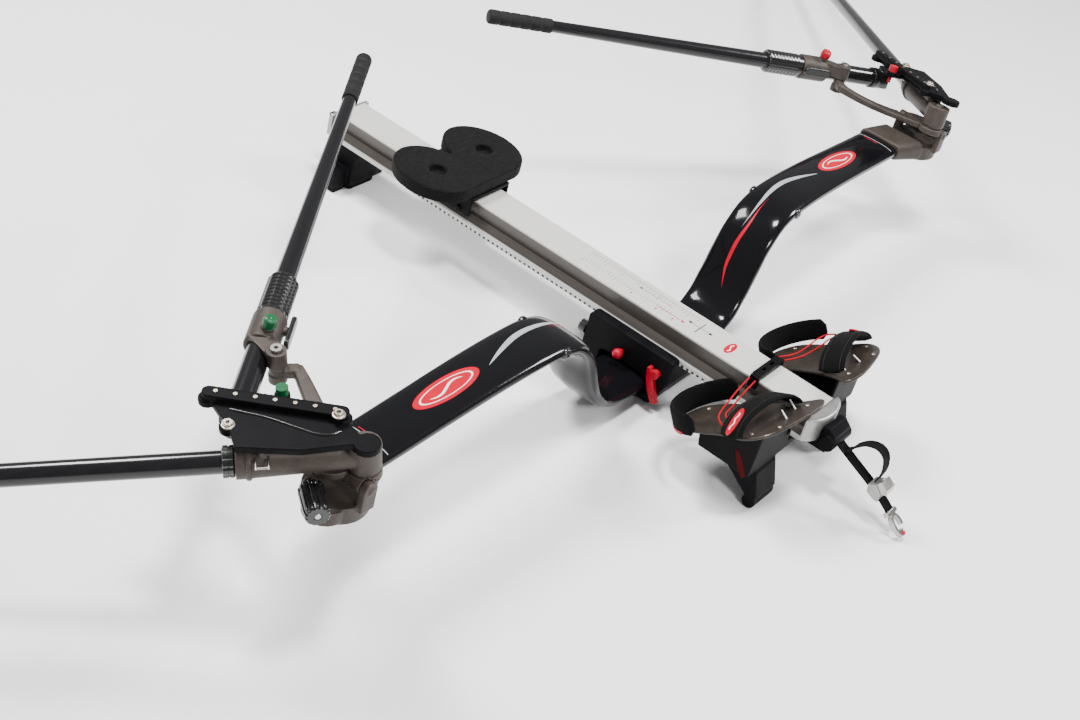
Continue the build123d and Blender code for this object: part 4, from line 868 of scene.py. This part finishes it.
# bolts on the guide plates, one on the plate and one on its strip
for side, sgn in (("starboard", 1), ("port", -1)):
    for k, o in enumerate((Vector((1.0648, -0.0687, 0.1872)), Vector((0.9545, 0.0378, 0.2240)))):
        head = [(-0.6, 0), (-0.6, 10.2), (1.2, 10.2), (2.0, 9.6), (2.2, 8.0), (2.4, 7.6), (5.2, 7.0), (6.2, 6.0), (6.2, 3.6), (3.6, 3.3), (3.6, 0)]
        emit(side + "_guide_bolt_%d" % k, lathe(o, N, head, 48), TAN, side + "_outboard", "steel", sgn=sgn)
        # painted shade: a black star inside the bolt head's socket recess stands for the shade in it
        star = [((2.9 + 0.75 * math.cos(6 * math.pi * 2 * q / 60)) * math.cos(2 * math.pi * q / 60), (2.9 + 0.75 * math.cos(6 * math.pi * 2 * q / 60)) * math.sin(2 * math.pi * q / 60)) for q in range(60)]
        bx, by, _ = basis(N, (1, 0, 0))
        emit(side + "_guide_bolt_star_%d" % k, slab(star, o, bx, by, N, 3.2, 4.6, 0.2), PRINT_BLACK, side + "_outboard", "black_plastic", sgn=sgn)
    # a raised rib that follows the plate's lower edge
    rib = []
    path = [(1.0415, -0.0905), (1.030, -0.066), (1.0199, -0.0475), (1.009, -0.015), (1.000, 0.014), (0.993, 0.036), (0.980, 0.052), (0.966, 0.056)]
    for u, v in path:
        z = 0.128 + (0.0892 - N.x * (u - 0.930) - N.y * (v - 0.087)) / N.z
        rib.append((u * 1000, v * 1000, z * 1000))
    cu = bpy.data.curves.new(side + "_guide_rib", "CURVE")
    cu.dimensions = "3D"
    sp = cu.splines.new("NURBS")
    sp.points.add(len(rib) - 1)
    for p, q in zip(sp.points, rib):
        p.co = (sgn * q[0] * mm, q[1] * mm, q[2] * mm, 1)
    sp.order_u = 3
    sp.use_endpoint_u = True
    sp.resolution_u = 12
    cu.bevel_depth = 2.4 * mm
    cu.bevel_resolution = 4
    cu.use_fill_caps = True
    cu.materials.append(KNURL)
    ob = bpy.data.objects.new(side + "_guide_rib", cu)
    SC.collection.objects.link(ob)
    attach(ob, side + "_outboard")
    # dark red flashes on the stretcher's flanks
    fl = [(338, -36), (350, -40), (362, -56), (374, -78), (371, -88), (362, -80), (350, -62)]
    emit(side + "_flank_flash", slab(fl, (0.196, 0, 0), (0, 1, 0), (0, 0, 1), (1, 0, 0), -0.6, 0.5, 0.2), FLASH, "stretcher", "red_plastic", sgn=sgn)
    # painted shade: black slabs in the gaps between the rack's teeth, where the holes lie in shade
    gap_shade = []
    for q in range(69):
        y = -578.0 + 12.0 * q
        gap_shade.append(slab([(54.3, y - 2.8), (58.3, y - 2.8), (58.3, y + 2.8), (54.3, y + 2.8)], (0, 0, 0), (1, 0, 0), (0, 1, 0), (0, 0, 1), -56.6, -50.2, 0.2))
    emit(side + "_rack_gap_shade", join(*gap_shade), PRINT_BLACK, "rig_base", "black_plastic", sgn=sgn, smooth=False)

# webbing strap and its loose tail
def webbing(points, half_w, half_t, per=10):
    line, n = [], len(points)
    for k in range(n - 1):
        p0, p1, p2, p3 = points[max(0, k - 1)], points[k], points[k + 1], points[min(n - 1, k + 2)]
        for j in range(per):
            u = j / per
            line.append(tuple(0.5 * (2 * p1[m] + (p2[m] - p0[m]) * u + (2 * p0[m] - 5 * p1[m] + 4 * p2[m] - p3[m]) * u * u + (3 * p1[m] - p0[m] - 3 * p2[m] + p3[m]) * u ** 3) for m in (0, 1)))
    line.append(points[-1])
    section = [(-half_w, -0.4 * half_t), (-half_w + 0.6, -half_t), (half_w - 0.6, -half_t), (half_w, -0.4 * half_t), (half_w, 0.4 * half_t), (half_w - 0.6, half_t), (half_w - 3.0, half_t), (half_w - 3.4, half_t - 0.25), (-half_w + 3.4, half_t - 0.25), (-half_w + 3.0, half_t), (-half_w + 0.6, half_t), (-half_w, 0.4 * half_t)]
    vs, fs, m_ = [], [], len(section)
    for k, (y, z) in enumerate(line):
        a, c = line[max(0, k - 1)], line[min(len(line) - 1, k + 1)]
        t = Vector((0, c[0] - a[0], c[1] - a[1])).normalized()
        up = Vector((1, 0, 0)).cross(t)
        for x, h in section:
            vs.append((Vector((x, y, z)) + up * h) * mm)
    for k in range(len(line) - 1):
        for j in range(m_):
            j2 = (j + 1) % m_
            fs.append((k * m_ + j, (k + 1) * m_ + j, (k + 1) * m_ + j2, k * m_ + j2))
    fs.append(tuple(range(m_)))
    fs.append(tuple(reversed([(len(line) - 1) * m_ + j for j in range(m_)])))
    return vs, fs


emit("strap_main", webbing([(446, -42), (457, -48.6), (497, -67.5), (537, -86), (566, -101.5), (588, -116.5)], 12.4, 1.4), WEB, "rig_base", "strap", ("web_strap",))
emit("strap_tail", webbing([(470, -53.5), (478, -46), (486, -31), (503, -14), (524, -7.5), (541, -16), (548.5, -36), (549, -54), (545, -73)], 12.4, 1.2), WEB, "rig_base", "strap")

# red tip of the snap hook
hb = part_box("snap_hook")
tip = Vector(((hb[0][0] + hb[1][0]) / 2, hb[1][1], hb[0][2]))
emit("hook_tip", lathe(tip + Vector((0, -0.0095, 0.0085)), (0, 0.75, -0.66), [(0, 0), (0, 6.2), (1, 7.2), (4, 7.2), (5, 6.2), (5, 0)], 40), PRINT_RED, "rig_base", "red_plastic")

# ------------------------------------------------------------------ camera, light, floor
R = Matrix(((-0.61178008, 0.76102894, 0.21577787), (0.36703478, 0.51473895, -0.77480919), (-0.70072149, -0.39481485, -0.59423112)))
cam_data = bpy.data.cameras.new("camera")
cam_data.sensor_width = 36
cam_data.lens = 36 * 1625.29 / 1080
cam = bpy.data.objects.new("camera", cam_data)
SC.collection.objects.link(cam)
right, down, fwd = (Vector(R[i]) for i in range(3))
cam.matrix_world = Matrix((
    (right.x, -down.x, -fwd.x, 2.382151),
    (right.y, -down.y, -fwd.y, 1.136818),
    (right.z, -down.z, -fwd.z, 1.731692),
    (0, 0, 0, 1),
))
cam_data.clip_end = 50
SC.camera = cam

w = SC.world or bpy.data.worlds.new("world")
SC.world = w
w.use_nodes = True
w.node_tree.nodes["Background"].inputs[0].default_value = (1, 1, 1, 1)
w.node_tree.nodes["Background"].inputs[1].default_value = 0.42


def area(name, loc, target, size, power, sy=None):
    d = bpy.data.lights.new(name, "AREA")
    d.shape = "RECTANGLE"
    d.size = size
    d.size_y = sy or size
    d.energy = power
    o = bpy.data.objects.new(name, d)
    SC.collection.objects.link(o)
    o.location = loc
    o.rotation_euler = (Vector(target) - Vector(loc)).to_track_quat("-Z", "Y").to_euler()
    return o


area("key", (0.8, -2.2, 3.0), (0, 0, 0), 1.0, 190)
area("fill", (-2.6, 1.4, 2.6), (0, 0, 0), 0.8, 130)
area("rim", (1.6, 3.0, 2.6), (0.3, 0, 0), 0.7, 105)
area("top", (0.2, 0.2, 4.2), (0, 0, 0), 0.7, 195)

floor = make("floor", [(-8, -8, FLOOR - 0.0006), (8, -8, FLOOR - 0.0006), (8, 8, FLOOR - 0.0006), (-8, 8, FLOOR - 0.0006)], [(0, 1, 2, 3)], FLOOR_M, smooth=False)
